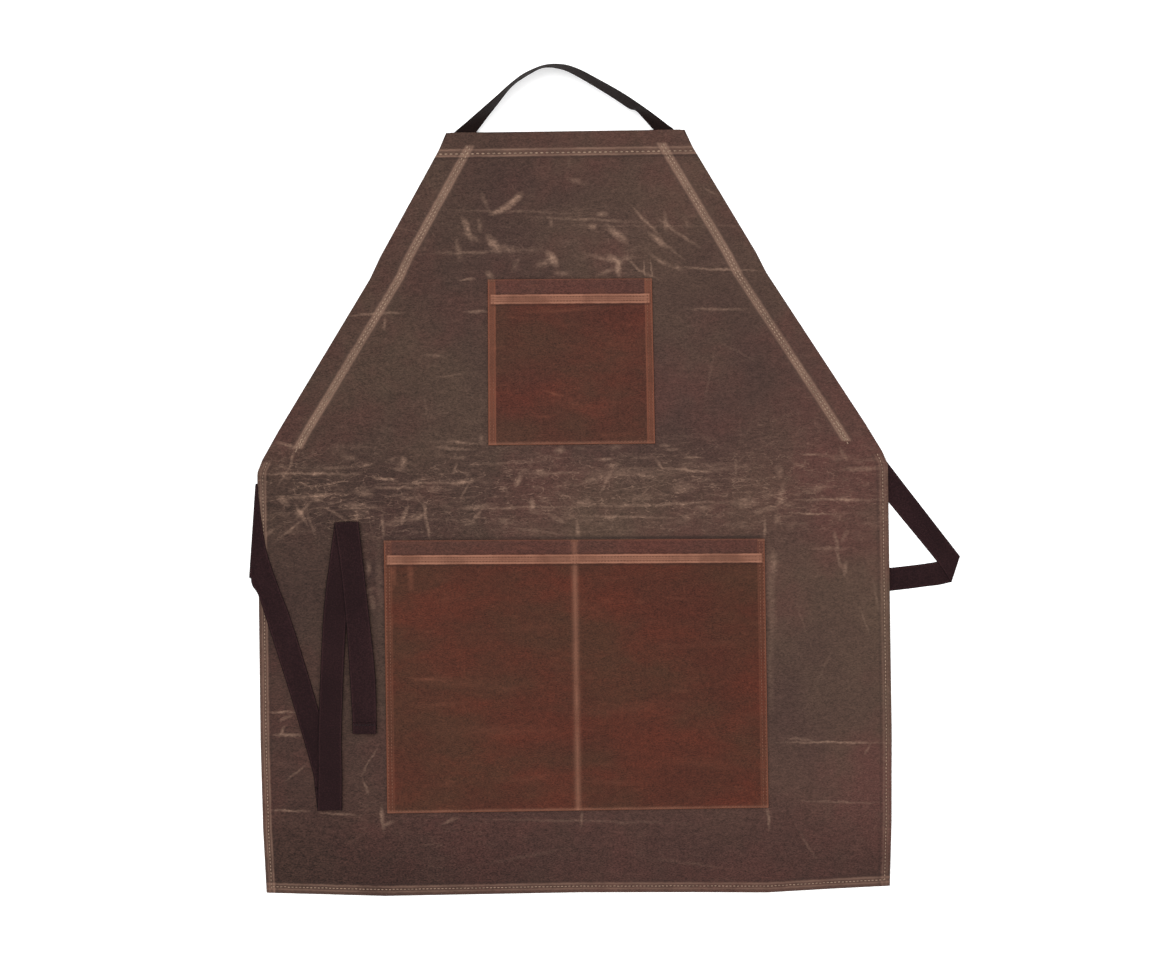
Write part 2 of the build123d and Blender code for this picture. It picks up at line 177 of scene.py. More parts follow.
class Graph:
    # A material and its nodes.
    def __init__(self, name):
        self.material = bpy.data.materials.new(name)
        self.material.use_nodes = True
        self.tree = self.material.node_tree
        self.tree.nodes.clear()

    def add(self, kind, settings=None, sockets=None, out=0):
        # Adds a node, sets its settings, then fills its sockets by name or in order.
        node = self.tree.nodes.new(kind)
        for key, value in (settings or {}).items():
            setattr(node, key, value)
        if isinstance(sockets, list):
            sockets = dict(enumerate(sockets))
        for key, value in (sockets or {}).items():
            if isinstance(value, Value):
                self.tree.links.new(value.socket, node.inputs[key])
            else:
                node.inputs[key].default_value = value
        return Value(self, node.outputs[out]) if len(node.outputs) else None

    def place(self, name="Object"):
        return self.add("ShaderNodeTexCoord", out=name)

    def attribute(self, name):
        # The piece's own value at each point.
        return self.add("ShaderNodeAttribute", {"attribute_name": name}, out="Fac")

    def axes(self, vector):
        # The vector's x, y and z.
        node = self.add("ShaderNodeSeparateXYZ", None, [vector]).socket.node
        return [Value(self, node.outputs[k]) for k in range(3)]

    def turned(self, vector, angle=0.0, scale=(1.0, 1.0, 1.0), shift=(0.0, 0.0, 0.0)):
        # The place scaled, turned by degrees about the vertical and moved.
        turn = (0.0, 0.0, math.radians(angle))
        return self.add("ShaderNodeMapping", None, [vector, shift, turn, scale])

    def noise(self, vector, scale, detail=4.0, roughness=0.55, distortion=0.0):
        # Cloudy values round 0.5, finer for a higher scale.
        sockets = {"Vector": vector, "Scale": scale, "Detail": detail}
        sockets.update({"Roughness": roughness, "Distortion": distortion})
        return self.add("ShaderNodeTexNoise", None, sockets)

    def ease(self, value, low, high):
        # 0 where value is low, 1 where it is high, smooth between.
        sockets = {"Value": value, "From Min": low, "From Max": high}
        return self.add("ShaderNodeMapRange", {"interpolation_type": "SMOOTHSTEP"}, sockets)

    def bell(self, value, centre, spread):
        # 1 at centre, falling away over spread on both sides.
        away = (value - centre) / spread
        return (away * away * -1.0).maths("EXPONENT")

    def stripes(self, value, places):
        # The sum of bells at these places, each a centre and a spread in millimetres.
        total = None
        for centre, spread in places:
            bell = self.bell(value, centre * mm, spread * mm)
            total = bell if total is None else total + bell
        return total

    def patches(self, place, fineness, detail, roughness, low, high, **turn):
        # Soft patches: 0 where a noise is under low and 1 where it is over high.
        return self.ease(self.noise(self.turned(place, **turn), fineness, detail, roughness), low, high)

    def mix(self, share, first, second, blend="MIX"):
        # The first colour at share 0 and the second at 1.
        settings = {"data_type": "RGBA", "blend_type": blend}
        return self.add("ShaderNodeMix", settings, {0: share, 6: first, 7: second}, out=2)

    def bump(self, height, strength, distance, normal=None):
        # The normal tilted by the slope of a height, on top of another bump if given.
        sockets = {"Height": height, "Strength": strength, "Distance": distance}
        if normal is not None:
            sockets["Normal"] = normal
        return self.add("ShaderNodeBump", None, sockets)

    def shaded(self, colour, tone):
        # The colour times a grey of this tone.
        grey = self.add("ShaderNodeCombineColor", None, [tone, tone, tone])
        return self.mix(1.0, colour, grey, "MULTIPLY")

    def finish(self, colour, roughness, normal, specular, glow=0.0):
        # The shader and the output. The glow is white.
        sockets = {"Base Color": colour, "Roughness": roughness, "Normal": normal}
        sockets.update({"Specular IOR Level": specular, "Emission Strength": glow})
        sockets["Emission Color"] = plain((1.0, 1.0, 1.0))
        shader = self.add("ShaderNodeBsdfPrincipled", None, sockets)
        self.add("ShaderNodeOutputMaterial", None, {"Surface": shader})
        return self.material


def plain(colour):
    # The colour with its fourth number, as a socket takes it.
    return (*colour, 1.0)


cameraValues = {
    "aim": (7.4, -17.6),      # mm, the middle of the view on the table
    "height": 2600.0,         # mm above the table
    "viewWidth": 1271.4,      # mm of table across the long side
    "roll": -0.8,             # degrees
    "sensor": 36.0,
}


def makeCamera(values):
    # Straight down: lens / sensor = height / width of table in view.
    data = bpy.data.cameras.new("camera")
    data.sensor_width = values["sensor"]
    data.lens = values["sensor"] * values["height"] / values["viewWidth"]
    data.clip_end = 50.0
    camera = bpy.data.objects.new("camera", data)
    bpy.context.scene.collection.objects.link(camera)
    camera.location = (values["aim"][0] * mm, values["aim"][1] * mm, values["height"] * mm)
    camera.rotation_euler = (0.0, 0.0, math.radians(values["roll"]))
    bpy.context.scene.camera = camera


# The lights' places and sizes are in metres and their powers in watts.
stageValues = {
    "world": 1.3,
    "key": {"place": (-1.3, 1.7, 3.2), "size": 3.4, "power": 72.0},
    "fill": {"place": (1.9, -1.4, 2.6), "size": 3.0, "power": 18.0},
    "floor": (0.96, 0.96, 0.96),
    "floorPatch": (0.93, 0.93, 0.93),
    "floorRough": 0.75,
    "floorGlow": 0.22,        # keeps the shadows on it faint
    "floorReach": 6000.0,
}


def makeLight(name, values):
    # A round area light that faces the origin.
    data = bpy.data.lights.new(name, "AREA")
    data.shape = "DISK"
    data.size = values["size"]
    data.energy = values["power"]
    light = bpy.data.objects.new(name, data)
    bpy.context.scene.collection.objects.link(light)
    light.location = values["place"]
    away = -light.location
    light.rotation_euler = away.to_track_quat("-Z", "Y").to_euler()


def makeStage(values):
    # An even white surround, two soft lights and a large pale floor.
    world = bpy.data.worlds.new("studio")
    world.use_nodes = True
    world.node_tree.nodes["Background"].inputs["Color"].default_value = (1.0, 1.0, 1.0, 1.0)
    world.node_tree.nodes["Background"].inputs["Strength"].default_value = values["world"]
    bpy.context.scene.world = world
    makeLight("keyLight", values["key"])
    makeLight("fillLight", values["fill"])
    graph = Graph("paleFloor")
    grain = graph.noise(graph.place(), 60.0, 2.0)
    colour = graph.mix(grain * 0.04, plain(values["floor"]), plain(values["floorPatch"]))
    normal = graph.bump(grain, 0.02, 0.001)
    material = graph.finish(colour, values["floorRough"], normal, 0.2, values["floorGlow"])
    points = np.array([(-1, -1, 0), (1, -1, 0), (1, 1, 0), (-1, 1, 0)]) * values["floorReach"]
    floor = meshPiece("floor", points, [[0, 1, 2, 3]], material)
    bpy.context.scene.view_settings.view_transform = "Standard"


makeCamera(cameraValues)
makeStage(stageValues)
print("camera, lights and floor")

bodyValues = {
    "topY": 363.5,
    "lowY": -470.0,
    "outlineY": (-473.0, -400.0, -300.0, -6.0, 8.0, 40.0, 205.0, 228.0, 345.0, 363.5),
    "outlineHalf": (341.3, 344.2, 345.7, 345.4, 339.6, 320.9, 217.2, 206.0, 138.8, 130.6),
    "leanY": (-470.0, 0.0, 363.5),
    "lean": (-0.8, -0.6, -3.4),    # sideways, at each of those heights
    "hemX": (-341.0, -212.0, 0.0, 120.0, 205.0, 280.0, 341.0),
    "hemY": (-466.0, -471.3, -470.3, -471.8, -473.3, -470.0, -467.8),
    "frontZ": 3.4,            # the front surface where it is a single layer
    "waves": ((0.28, 420.0, 3), (0.1, 90.0, 8)),    # height, longest wave, seed
    "hemRise": 0.3,
    "hemStep": 0.8,           # half the width of the step at a hem's inner edge
    "groove": 0.3,
    "ridge": 0.22,
    "swell": 0.45,            # where the tape fills the channels
    "sag": 0.75,              # at the low end and where the right tie lies beneath
    "cloth": 0.9,
    "edgeZ": 2.35,
    "edgeRound": 1.4,
    "cornerRound": 6.0,
    "hemUnderZ": 1.0,
    "sideHem": 10.0,
    "sideRow": 6.2,
    "sideHemTop": 8.0,
    "bottomHem": 11.2,
    "bottomRow": 7.1,
    "topHem": 27.0,
    "topRow": 23.5,
    "channelSeam": 27.6,
    "channelFlap": 31.5,
    "channelMouthY": 31.5,
    "channelMouthSlope": 0.503,
    "seamTopY": 349.0,
    "creasesAcross": ((165.0, 1.6, 0.35), (-2.0, 2.0, 0.5), (-45.0, 1.8, 0.35),
                      (-310.0, 1.6, 0.3), (-377.0, 1.6, 0.3)),
    "creasesAlong": ((-212.0, 2.0, 0.4), (210.0, 2.0, 0.45)),
    "foldFrom": 10.0,
    "foldTo": 17.0,
}


def halfWidth(y):
    # Half the cloth's width at this height, along a few straight stretches.
    return np.interp(y, bodyValues["outlineY"], bodyValues["outlineHalf"])


def lean(y):
    # How far the cloth's middle lies off the origin.
    return np.interp(y, bodyValues["leanY"], bodyValues["lean"])


def slopeStretch(y):
    # Sideways distance for each millimetre square to the edge.
    return 1.0 + 0.163 * smoothStep(y, -12.0, 14.0)


def bottomEdge(x):
    # Height of the lower border, along a few straight stretches.
    return np.interp(x, bodyValues["hemX"], bodyValues["hemY"])


def edgePoint(side, inset, y):
    # The point at this height that is inset square to the right (1) or left (-1) edge.
    return side * (halfWidth(y) - inset * slopeStretch(y)) + lean(y)


def edgeInset(x, y):
    # How far inside the nearer side edge a point is, square to it.
    return (halfWidth(y) - np.abs(x - lean(y))) / slopeStretch(y)


def withinHem(distance, hem, step):
    # 1 on the hem and 0 inside of it.
    return 1.0 - smoothStep(distance, bodyValues[hem] - step, bodyValues[hem] + step)


def frontHeight(x, y):
    # Height of the front surface in mm: a flat base with soft waves, plus raised hems,
    # plus a groove with two ridges along each seam, plus the creases from old folds.
    v = bodyValues
    inset = edgeInset(x, y)
    fromTop = v["topY"] - y
    fromBottom = y - bottomEdge(x)
    onSkirt = smoothStep(-y, -v["sideHemTop"] - 4.0, -v["sideHemTop"])
    onBib = 1.0 - onSkirt
    height = v["frontZ"]
    for rise, longest, seed in v["waves"]:
        height = height + rise * waves(x, y, seed, longest)
    sideHem = onSkirt * withinHem(inset, "sideHem", v["hemStep"])
    bottomHem = withinHem(fromBottom, "bottomHem", v["hemStep"])
    topHem = withinHem(fromTop, "topHem", v["hemStep"])
    height = height + v["hemRise"] * np.maximum(np.maximum(sideHem, bottomHem), topHem)
    for distance, row, ridge, where in (
        (inset, v["sideRow"], 2.4, onSkirt),
        (fromBottom, v["bottomRow"], 2.6, 1.0),
        (fromTop, v["topRow"], 3.6, 1.0),
        (inset, v["channelSeam"], 3.2, onBib * smoothStep(y, 17.0, 26.0)),
    ):
        groove = -v["groove"] * hump(distance, row, 0.9)
        ridges = v["ridge"] * (hump(distance, row - ridge, 1.3) + hump(distance, row + ridge, 1.3))
        height = height + where * (groove + ridges)
    swell = hump(inset, 14.0, 10.0) * onBib * smoothStep(y, 18.0, 34.0)
    height = height + v["swell"] * swell
    for centre, spread, rise in v["creasesAcross"]:
        drift = 1.6 * np.sin(x / 61.0 + centre)
        height = height + rise * hump(y + drift, centre, spread) * smoothStep(inset, 2.0, 14.0)
    for centre, spread, rise in v["creasesAlong"]:
        drift = 1.2 * np.sin(y / 73.0 + centre)
        height = height + rise * hump(x + drift, centre, spread) * smoothStep(240.0 - y, 0.0, 30.0)
    low = smoothStep(-y, 392.0, 452.0)
    side = smoothStep(x, 235.0, 330.0) * smoothStep(-y, 306.0, 350.0)
    return height - v["sag"] * np.maximum(low, side)


def spread(*groups):
    # A sorted list of places without near doubles.
    places = np.sort(np.concatenate([np.atleast_1d(np.asarray(g, float)) for g in groups]))
    nearest = 0.28
    return places[np.concatenate([[True], np.diff(places) > nearest])]


def bodyGrid():
    # Lines across follow the hem at the bottom and lines along follow the sides. They stand
    # close together at borders, hems and seams. The top corners are rounded.
    v = bodyValues
    insets = np.array([0.0, 0.12, 0.4, 0.85, 1.4, 2.4, 3.6, 4.8, 5.6, 6.2, 6.8, 7.7, 8.8, 9.7, 10.6,
                       12.5, 15.5, 19.0, 22.0, 24.0, 25.6, 26.9, 27.6, 28.4, 29.6, 31.2, 33.2, 36.5])
    middle = np.linspace(-1.0, 1.0, 112)[1:-1]
    low, high = v["lowY"], v["topY"]
    rows = spread(
        np.arange(low + 14.0, high - 29.0, 4.1),
        low + np.array([0.0, 0.35, 0.85, 1.4, 2.8, 4.5, 5.8, 6.7, 7.5, 8.6, 9.8, 10.8, 11.9]),
        high - np.array([0.0, 0.35, 0.85, 1.4, 2.8, 6.0, 10.0, 14.0, 17.5, 19.3, 20.6, 22.2, 23.1, 23.9,
                         25.2, 26.4, 27.3, 28.3]),
        np.arange(4.0, 20.1, 1.25),
    )[:, None]
    half = halfWidth(rows)
    out = insets[None, :] * slopeStretch(rows)
    inner = (half - out[:, -1:]) * middle[None, :]
    x = np.concatenate([-half + out, inner, (half - out)[:, ::-1]], 1) + lean(rows)
    toBottom = smoothStep(-rows, 300.0, -low)
    y = rows + (bottomEdge(x) - low) * toBottom
    radius = v["cornerRound"]
    corner = np.maximum(np.abs(x - lean(rows)) - (half - radius), 0.0)
    drop = radius - np.sqrt(np.maximum(radius ** 2 - corner ** 2, 0.0))
    return x, y - drop * smoothStep(rows, high - 2 * radius, high), rows + 0.0 * x


def makeBodyCloth(material):
    # The front surface, and under it the same surface lower by the cloth's thickness, or by
    # three thicknesses at the hems. At the border both curve round to meet half way.
    v = bodyValues
    x, y, rows = bodyGrid()
    inset = np.maximum(edgeInset(x, rows), 0.0)
    fromTop = np.maximum(v["topY"] - rows, 0.0)
    fromBottom = np.maximum(rows - v["lowY"], 0.0)
    front = frontHeight(x, y)
    step = 0.3
    skirtSide = smoothStep(-rows, -v["sideHemTop"] - 1.5, -v["sideHemTop"])
    hem = np.maximum(skirtSide * withinHem(inset, "sideHem", step), withinHem(fromBottom, "bottomHem", step))
    between = smoothStep(inset, v["channelFlap"] - 0.5, v["channelFlap"] + 0.5)
    hem = np.maximum(hem, between * withinHem(fromTop, "topHem", step))
    sunk = 0.6 * np.minimum(front - v["frontZ"], 0.0)
    under = front - v["cloth"]
    under = under - hem * (under - v["hemUnderZ"] - sunk)
    square = np.minimum(np.minimum(inset, fromTop), fromBottom)
    turn = roundOff(square, v["edgeRound"])
    onSlope = (1.0 - skirtSide) * (1.0 - smoothStep(inset, 0.8, 1.6))
    meet = (front + under) / 2
    meet = meet + onSlope * (v["edgeZ"] - meet)
    topZ = meet + (front - meet) * turn
    underZ = meet + (under - meet) * turn
    points, faces = closedSheet(np.stack([x, y, topZ], -1), np.stack([x, y, underZ], -1))
    attributes = {
        "inset": sheetValues(inset),
        "fromTop": sheetValues(fromTop),
        "fromBottom": sheetValues(fromBottom),
        "front": (np.arange(len(points)) < x.size) * 1.0,
    }
    return meshPiece("bodyCloth", points, faces, material, attributes)


def makeChannelFlap(side, material):
    # The cloth folded back behind a slanted edge: a thin band from the edge to just past the
    # seam, open at both ends, whose outer border turns up to meet the front.
    v = bodyValues
    insets = np.array([0.0, 0.15, 0.5, 1.0, 1.6, 4.0, 9.0, 14.0, 19.0, 24.0, 26.4, 27.0, 27.6, 29.0,
                       30.6, 31.3, 31.5])[None, :]
    along = np.concatenate([[0.0, 0.002, 0.006], np.linspace(0.012, 0.988, 80), [0.994, 0.998, 1.0]])[:, None]
    start = v["channelMouthY"] - insets * v["channelMouthSlope"]
    y = start + (v["topY"] - start) * along
    x = edgePoint(side, insets, y)
    under = v["hemUnderZ"] + 0.12 * waves(x, y, 21, 160.0)
    thicker = 0.8 * smoothStep(insets, v["channelSeam"] - 1.0, v["channelSeam"] - 0.2)
    upper = under + v["cloth"] + thicker
    length = 350.0
    ends = np.minimum(np.minimum(along, 1.0 - along) * length, v["channelFlap"] - insets)
    turn = roundOff(ends, 0.5)
    outer = roundOff(insets, 1.6)
    middle = (upper + under) / 2
    upperZ = v["edgeZ"] + (middle + (upper - middle) * turn - v["edgeZ"]) * outer
    underZ = v["edgeZ"] + (middle + (under - middle) * turn - v["edgeZ"]) * outer
    points, faces = closedSheet(np.stack([x, y, upperZ], -1), np.stack([x, y, underZ], -1))
    if side > 0:
        faces = faces[:, ::-1]
    attributes = {"inset": sheetValues(insets + 0.0 * y), "fromTop": sheetValues(v["topY"] - y),
                  "fromBottom": sheetValues(y - v["lowY"]), "front": np.zeros(len(points))}
    name = "channelFlapRight" if side > 0 else "channelFlapLeft"
    return meshPiece(name, points, faces, material, attributes)


canvasValues = {
    "dark": (0.0365, 0.0188, 0.0152),
    "olive": (0.0520, 0.0302, 0.0208),
    "red": (0.0560, 0.0230, 0.0182),
    "rub": (0.225, 0.138, 0.098),
    "hemRub": (0.148, 0.086, 0.062),
    "shadow": (0.02, 0.012, 0.01),
    "grain": 430.0,
    "specular": 0.10,
    "sideLines": ((4.0, 0.8), (8.8, 1.0)),         # how far in, and the spread
    "bottomLines": ((4.5, 0.9), (10.0, 1.1)),
    "topLines": ((19.2, 1.1), (26.1, 1.1)),
    "seamLines": ((24.3, 1.0), (30.9, 1.0)),
    "seamShadows": ((21.5, 1.3), (33.4, 1.3)),
}

# Rubbed marks on the body cloth: x and y of the middle, the angle, half the length, half
# the width, and how pale it is.
bibMarks = (
    (-67, 283, 32, 23, 5, 0.6), (-57, 290, 42, 12, 6, 0.5), (-80, 277, 18, 12, 4, 0.4),
    (-93, 288, 110, 15, 4, 0.25), (-113, 259, 110, 17, 4.5, 0.55), (-99, 262, 100, 11, 4, 0.3),
    (-107, 249, 152, 12, 4, 0.35), (-122, 236, 95, 15, 4, 0.35), (-84, 241, 125, 15, 6, 0.65),
    (-68, 236, 165, 18, 5, 0.3), (-105, 232.5, 1, 58, 2.6, 0.3), (-20, 224, 125, 13, 6, 0.8),
    (-28, 220, 20, 15, 6, 0.3), (-8, 208, 0, 12, 4, 0.3), (-20, 264, 92, 8, 3, 0.35),
    (8, 308, 158, 14, 4, 0.3), (36, 272, 5, 9, 4, 0.55), (24, 258, 0, 6, 4, 0.6),
    (52, 250, 140, 18, 6, 0.6), (20, 266, 176, 75, 2.4, 0.34), (-60, 276, 178, 95, 2.2, 0.22),
    (87, 260, 133, 27, 2.2, 0.4), (96, 243, 140, 16, 4.5, 0.6), (78, 268, 130, 22, 2, 0.3),
    (105, 262, 95, 14, 4, 0.4), (119, 250, 145, 36, 2.4, 0.4), (112, 232, 138, 20, 2.4, 0.25),
    (100, 220, 150, 18, 3.5, 0.4), (49, 222, 150, 14, 5, 0.55), (52, 212, 100, 11, 4.5, 0.7),
    (35, 224, 165, 25, 4, 0.32), (40, 209, 20, 14, 3, 0.35), (62, 224, 10, 9, 4, 0.35),
    (72, 214, 140, 22, 2.2, 0.38), (87, 205, 150, 16, 2.2, 0.3), (162, 209.5, 177, 52, 2, 0.62),
    (118, 212, 140, 8, 4, 0.3), (155, 294, 150, 12, 2, 0.3), (-113, 202.6, 0, 12, 1.8, 0.5),
    (-88, 206, 110, 8, 5, 0.5), (95, 258, 179, 120, 2, 0.16), (-60, 217, 60, 12, 4, 0.2),
    (128, 262, 100, 8, 3, 0.2), (-42, 234, 0, 16, 3, 0.2), (81.5, 212, 92, 11, 1.6, 0.5),
    (89, 212, 92, 11, 1.6, 0.5), (-113, 338, 60, 9, 3, 0.5), (106, 336, 120, 8, 3, 0.4),
)
waistMarks = (
    (-290, -8, 179, 62, 2.2, 0.5), (-281, -8, 0, 8, 4, 0.4), (-308, 8, 70, 11, 2, 0.4),
    (-316, -9, 58, 16, 2, 0.36), (-312, 24, 160, 16, 3, 0.5), (-245, 10, 170, 12, 4, 0.3),
    (-262, -2, 5, 34, 2.6, 0.3), (-227, 1, 5, 12, 3.5, 0.3), (-185, 4, 90, 8, 5, 0.5),
    (-207, -14.5, 172, 19, 2.2, 0.75), (-190, -24, 0, 38, 2.4, 0.4), (-230, -30, 170, 14, 5, 0.4),
    (-285, -32, 2, 56, 2.4, 0.36), (-318, -37, 150, 10, 5, 0.45), (-280, -36, 0, 7, 4, 0.4),
    (-296, -47, 45, 16, 3, 0.4), (-298, -52, 120, 16, 3, 0.42), (-300, -50, 0, 8, 7, 0.35),
    (-310, -68, 40, 24, 2, 0.36), (-287, -62, 110, 19, 2.2, 0.26), (-333, -72, 40, 10, 4, 0.25),
    (-262, -50, 150, 17, 2.2, 0.36), (-238, -57, 90, 8, 4, 0.4), (-185, -54, 72, 13, 3.4, 0.6),
    (-163, -50, 96, 12, 3.2, 0.5), (-160, -70, 102, 15, 2.4, 0.5), (-170, -57, 30, 8, 4, 0.3),
    (-160, -19.5, 0, 60, 2, 0.32), (-121, -19, 4, 16, 4.4, 0.55), (-118, -28, 60, 12, 2, 0.36),
    (-105, -46, 5, 26, 3.6, 0.42), (-106, -56, 55, 10, 3.2, 0.42), (-50, -48, 0, 80, 2, 0.36),
    (-130, 18, 174, 27, 2.6, 0.4), (-125, 8, 175, 10, 3, 0.3), (-129, -3, 75, 8, 2.4, 0.36),
    (-60, -18, 60, 10, 4.5, 0.5), (-38, -9, 0, 10, 4, 0.36), (-20, -11, 2, 34, 2.4, 0.3),
    (-46, -46, 90, 10, 5, 0.5), (-14, 14, 20, 8, 5, 0.42), (-76, -62, 0, 7, 4, 0.3),
    (-20, -60, 150, 13, 4, 0.26), (-40, -74, 172, 46, 2.2, 0.26), (-75, 1, 1, 60, 2.2, 0.2),
    (35, 3.5, 3, 14, 2.6, 0.45), (44, -3, 0, 12, 2.6, 0.32), (95, -3, 128, 10, 2.4, 0.45),
    (124, -9.5, 173, 36, 2.4, 0.5), (60, -12, 0, 72, 8, 0.2), (38, -18, 60, 10, 3.4, 0.36),
    (32, -29, 60, 10, 2.4, 0.26), (108, 13.5, 0, 10, 2.4, 0.34), (100, 18, 0, 8, 2.2, 0.34),
    (132, 3.5, 0, 13, 2, 0.44), (120, -29, 0, 17, 7, 0.38), (178, -6, 90, 12, 2.4, 0.26),
    (160, -9, 0, 24, 3, 0.26), (95, -46.5, 1, 105, 2.2, 0.36), (65, -59.5, 178, 80, 2, 0.34),
    (40, -60, 0, 8, 4, 0.36), (186, -47, 0, 20, 6, 0.3), (225, -12, 90, 11, 6, 0.3),
    (228, -34, 70, 13, 5, 0.3), (227, -45.5, 20, 8, 4.4, 0.5), (212, -54, 10, 19, 4, 0.3),
    (222, -65, 90, 10, 4, 0.3), (286, -44.5, 179, 56, 2, 0.5), (297, -45.5, 0, 6, 3, 0.36),
    (262, -59, 178, 28, 1.8, 0.6), (261, 5.5, 0, 14, 1.8, 0.5), (248, -6, 165, 10, 3, 0.26),
    (318, -11, 0, 28, 3.4, 0.4), (295, 6, 120, 12, 3, 0.24), (287, -88, 100, 12, 3.4, 0.38),
    (296, -84, 60, 10, 3.4, 0.26), (290, -108, 105, 17, 2.4, 0.4), (296, -119, 80, 11, 3.4, 0.34),
    (280, -98, 0, 28, 2.4, 0.28), (330, -150, 100, 24, 2.4, 0.2), (317, -178, 105, 19, 1.8, 0.28),
    (209, -75, 90, 14, 2.2, 0.5), (4, -72, 90, 12, 3, 0.5), (-209, -66, 92, 16, 2.4, 0.4),
    (218, -112, 90, 17, 6, 0.34), (215, -150, 91, 70, 6, 0.22), (213, -230, 90, 60, 5, 0.14),
    (-214, -130, 90, 60, 5, 0.16),
)
lowMarks = (
    (-225, -112, 90, 10, 4, 0.3), (-222, -150, 100, 12, 4, 0.3), (-224, -136, 30, 9, 3, 0.22),
    (-322, -268, 178, 22, 2, 0.5), (-318, -275, 20, 10, 3, 0.4), (-316, -294, 178, 20, 2.6, 0.55),
    (-322, -290, 60, 9, 2.4, 0.4), (-308, -335, 40, 20, 1.8, 0.3), (-238, -272, 0, 12, 2, 0.3),
    (-228, -325, 60, 22, 1.8, 0.3), (-232, -352, 110, 12, 2, 0.3), (-316, -376, 179, 28, 2, 0.5),
    (-262, -380, 175, 26, 2, 0.36), (-214, -386, 92, 17, 3, 0.5), (-208, -392, 30, 10, 3, 0.3),
    (-140, -390, 25, 12, 3, 0.3), (280, -310, 179, 72, 1.8, 0.55), (245, -306, 176, 20, 2, 0.34),
    (318, -318, 60, 12, 2, 0.24), (290, -375, 178, 55, 1.8, 0.3), (0, -392, 178, 150, 2.2, 0.16),
    (4, -390, 90, 12, 2.4, 0.3), (208, -392, 92, 16, 2.6, 0.4), (-60, -430, 10, 60, 3, 0.1),
    (120, -440, 172, 60, 3, 0.1), (250, -420, 120, 30, 2, 0.14), (270, -230, 65, 30, 2, 0.12),
    (250, -180, 110, 40, 2, 0.1), (-300, 120, 62, 40, 2.4, 0.2), (-150, 120, 175, 16, 2.4, 0.3),
    (-133, 98, 8, 22, 1.6, 0.22), (-104, 167, 179, 16, 2.2, 0.5), (-213, 166, 3, 34, 2.4, 0.6),
    (-204, 155, 90, 10, 2.2, 0.35), (160, 166, 179, 40, 2.2, 0.4), (-160, 60, 100, 30, 2, 0.1),
    (150, 90, 80, 36, 2, 0.1), (-120, 24, 176, 26, 2.2, 0.36), (-100, 28, 90, 8, 3, 0.3),
    (180, 120, 150, 30, 2, 0.12), (0, 330, 90, 10, 3, 0.12),
)
# The same on the two pockets: the first seven are on the chest pocket.
pocketMarks = (
    (-10, 167, 2, 60, 3, 0.3), (-20, 77, 163, 16, 2, 0.5), (-30, 52, 3, 16, 2.4, 0.36),
    (10, 62, 172, 40, 6, 0.16), (30, 120, 170, 30, 2, 0.12), (50, 30, 2, 30, 4, 0.18),
    (-60, 160, 178, 20, 2, 0.2), (-165, -234, 172, 22, 2.4, 0.4), (-150, -262, 2, 40, 4, 0.22),
    (-120, -240, 176, 70, 8, 0.14), (-90, -292, 178, 90, 10, 0.16), (60, -270, 4, 80, 9, 0.14),
    (130, -330, 174, 60, 8, 0.14), (-40, -180, 3, 80, 6, 0.1), (110, -150, 168, 24, 2, 0.2),
    (120, -142, 100, 12, 1.8, 0.16), (150, -290, 110, 14, 1.8, 0.16), (-180, -120, 92, 22, 5, 0.5),
    (-198, -118, 90, 18, 4, 0.6), (160, -200, 2, 50, 5, 0.12), (40, -350, 178, 40, 4, 0.16),
    (-60, -345, 3, 50, 4, 0.16),
)


def rubbedMarks(graph, place, marks, wander):
    # Each mark is a soft spot on a place that is moved to its middle, turned to its angle
    # and shrunk to its size, so that its edge is one unit away. Their sum is capped.
    # All share one first Mapping node, which keeps the shader small enough to run.
    base = graph.turned(wander)
    total = None
    for x, y, angle, length, width, pale in marks:
        turn = (0.0, 0.0, math.radians(angle))
        sockets = [base, (x * mm, y * mm, 0.0), turn, (length * mm, width * mm, 1.0)]
        spot = graph.add("ShaderNodeMapping", {"vector_type": "TEXTURE"}, sockets)
        near = graph.add("ShaderNodeTexGradient", {"gradient_type": "SPHERICAL"}, [spot], out=1)
        total = near.maths("MULTIPLY_ADD", pale * 1.25, 0.0 if total is None else total)
    wisps = graph.noise(graph.turned(place, 15.0, (1.0, 1.6, 1.0)), 210.0, 5.0, 0.75)
    return total.maths("MINIMUM", 1.0) * (graph.ease(wisps, 0.34, 0.66) * 0.75 + 0.38)


def wandering(graph, place, scale, reach):
    # The place pushed about by a few millimetres, so that straight marks wander.
    push = graph.add("ShaderNodeTexNoise", None, {"Vector": place, "Scale": scale, "Detail": 3.0}, out=1)
    push = graph.add("ShaderNodeVectorMath", {"operation": "SUBTRACT"}, [push, (0.5, 0.5, 0.5)])
    push = graph.add("ShaderNodeVectorMath", {"operation": "MULTIPLY"}, [push, (reach, reach, 0.0)])
    return graph.add("ShaderNodeVectorMath", {"operation": "ADD"}, [place, push])


def crackle(graph, place, angle, scale, stretch, thin):
    # A net of fine lines: near the borders between the cells of a scattered pattern.
    cells = graph.turned(place, angle, (1.0, stretch, 1.0))
    sockets = {"Vector": cells, "Scale": scale}
    away = graph.add("ShaderNodeTexVoronoi", {"feature": "DISTANCE_TO_EDGE"}, sockets)
    return 1.0 - graph.ease(away, 0.0, thin)


def creaseLines(graph, place, angle, scale, stretch, shift, thin):
    # Thin wandering lines: where a stretched noise crosses its middle value.
    stretched = graph.turned(place, angle, (1.0, stretch, 1.0), (shift, 0.0, 0.0))
    field = graph.noise(stretched, scale, 3.0, 0.5, 0.3)
    away = (field - 0.5).maths("ABSOLUTE")
    return 1.0 - graph.ease(away, 0.0, thin)


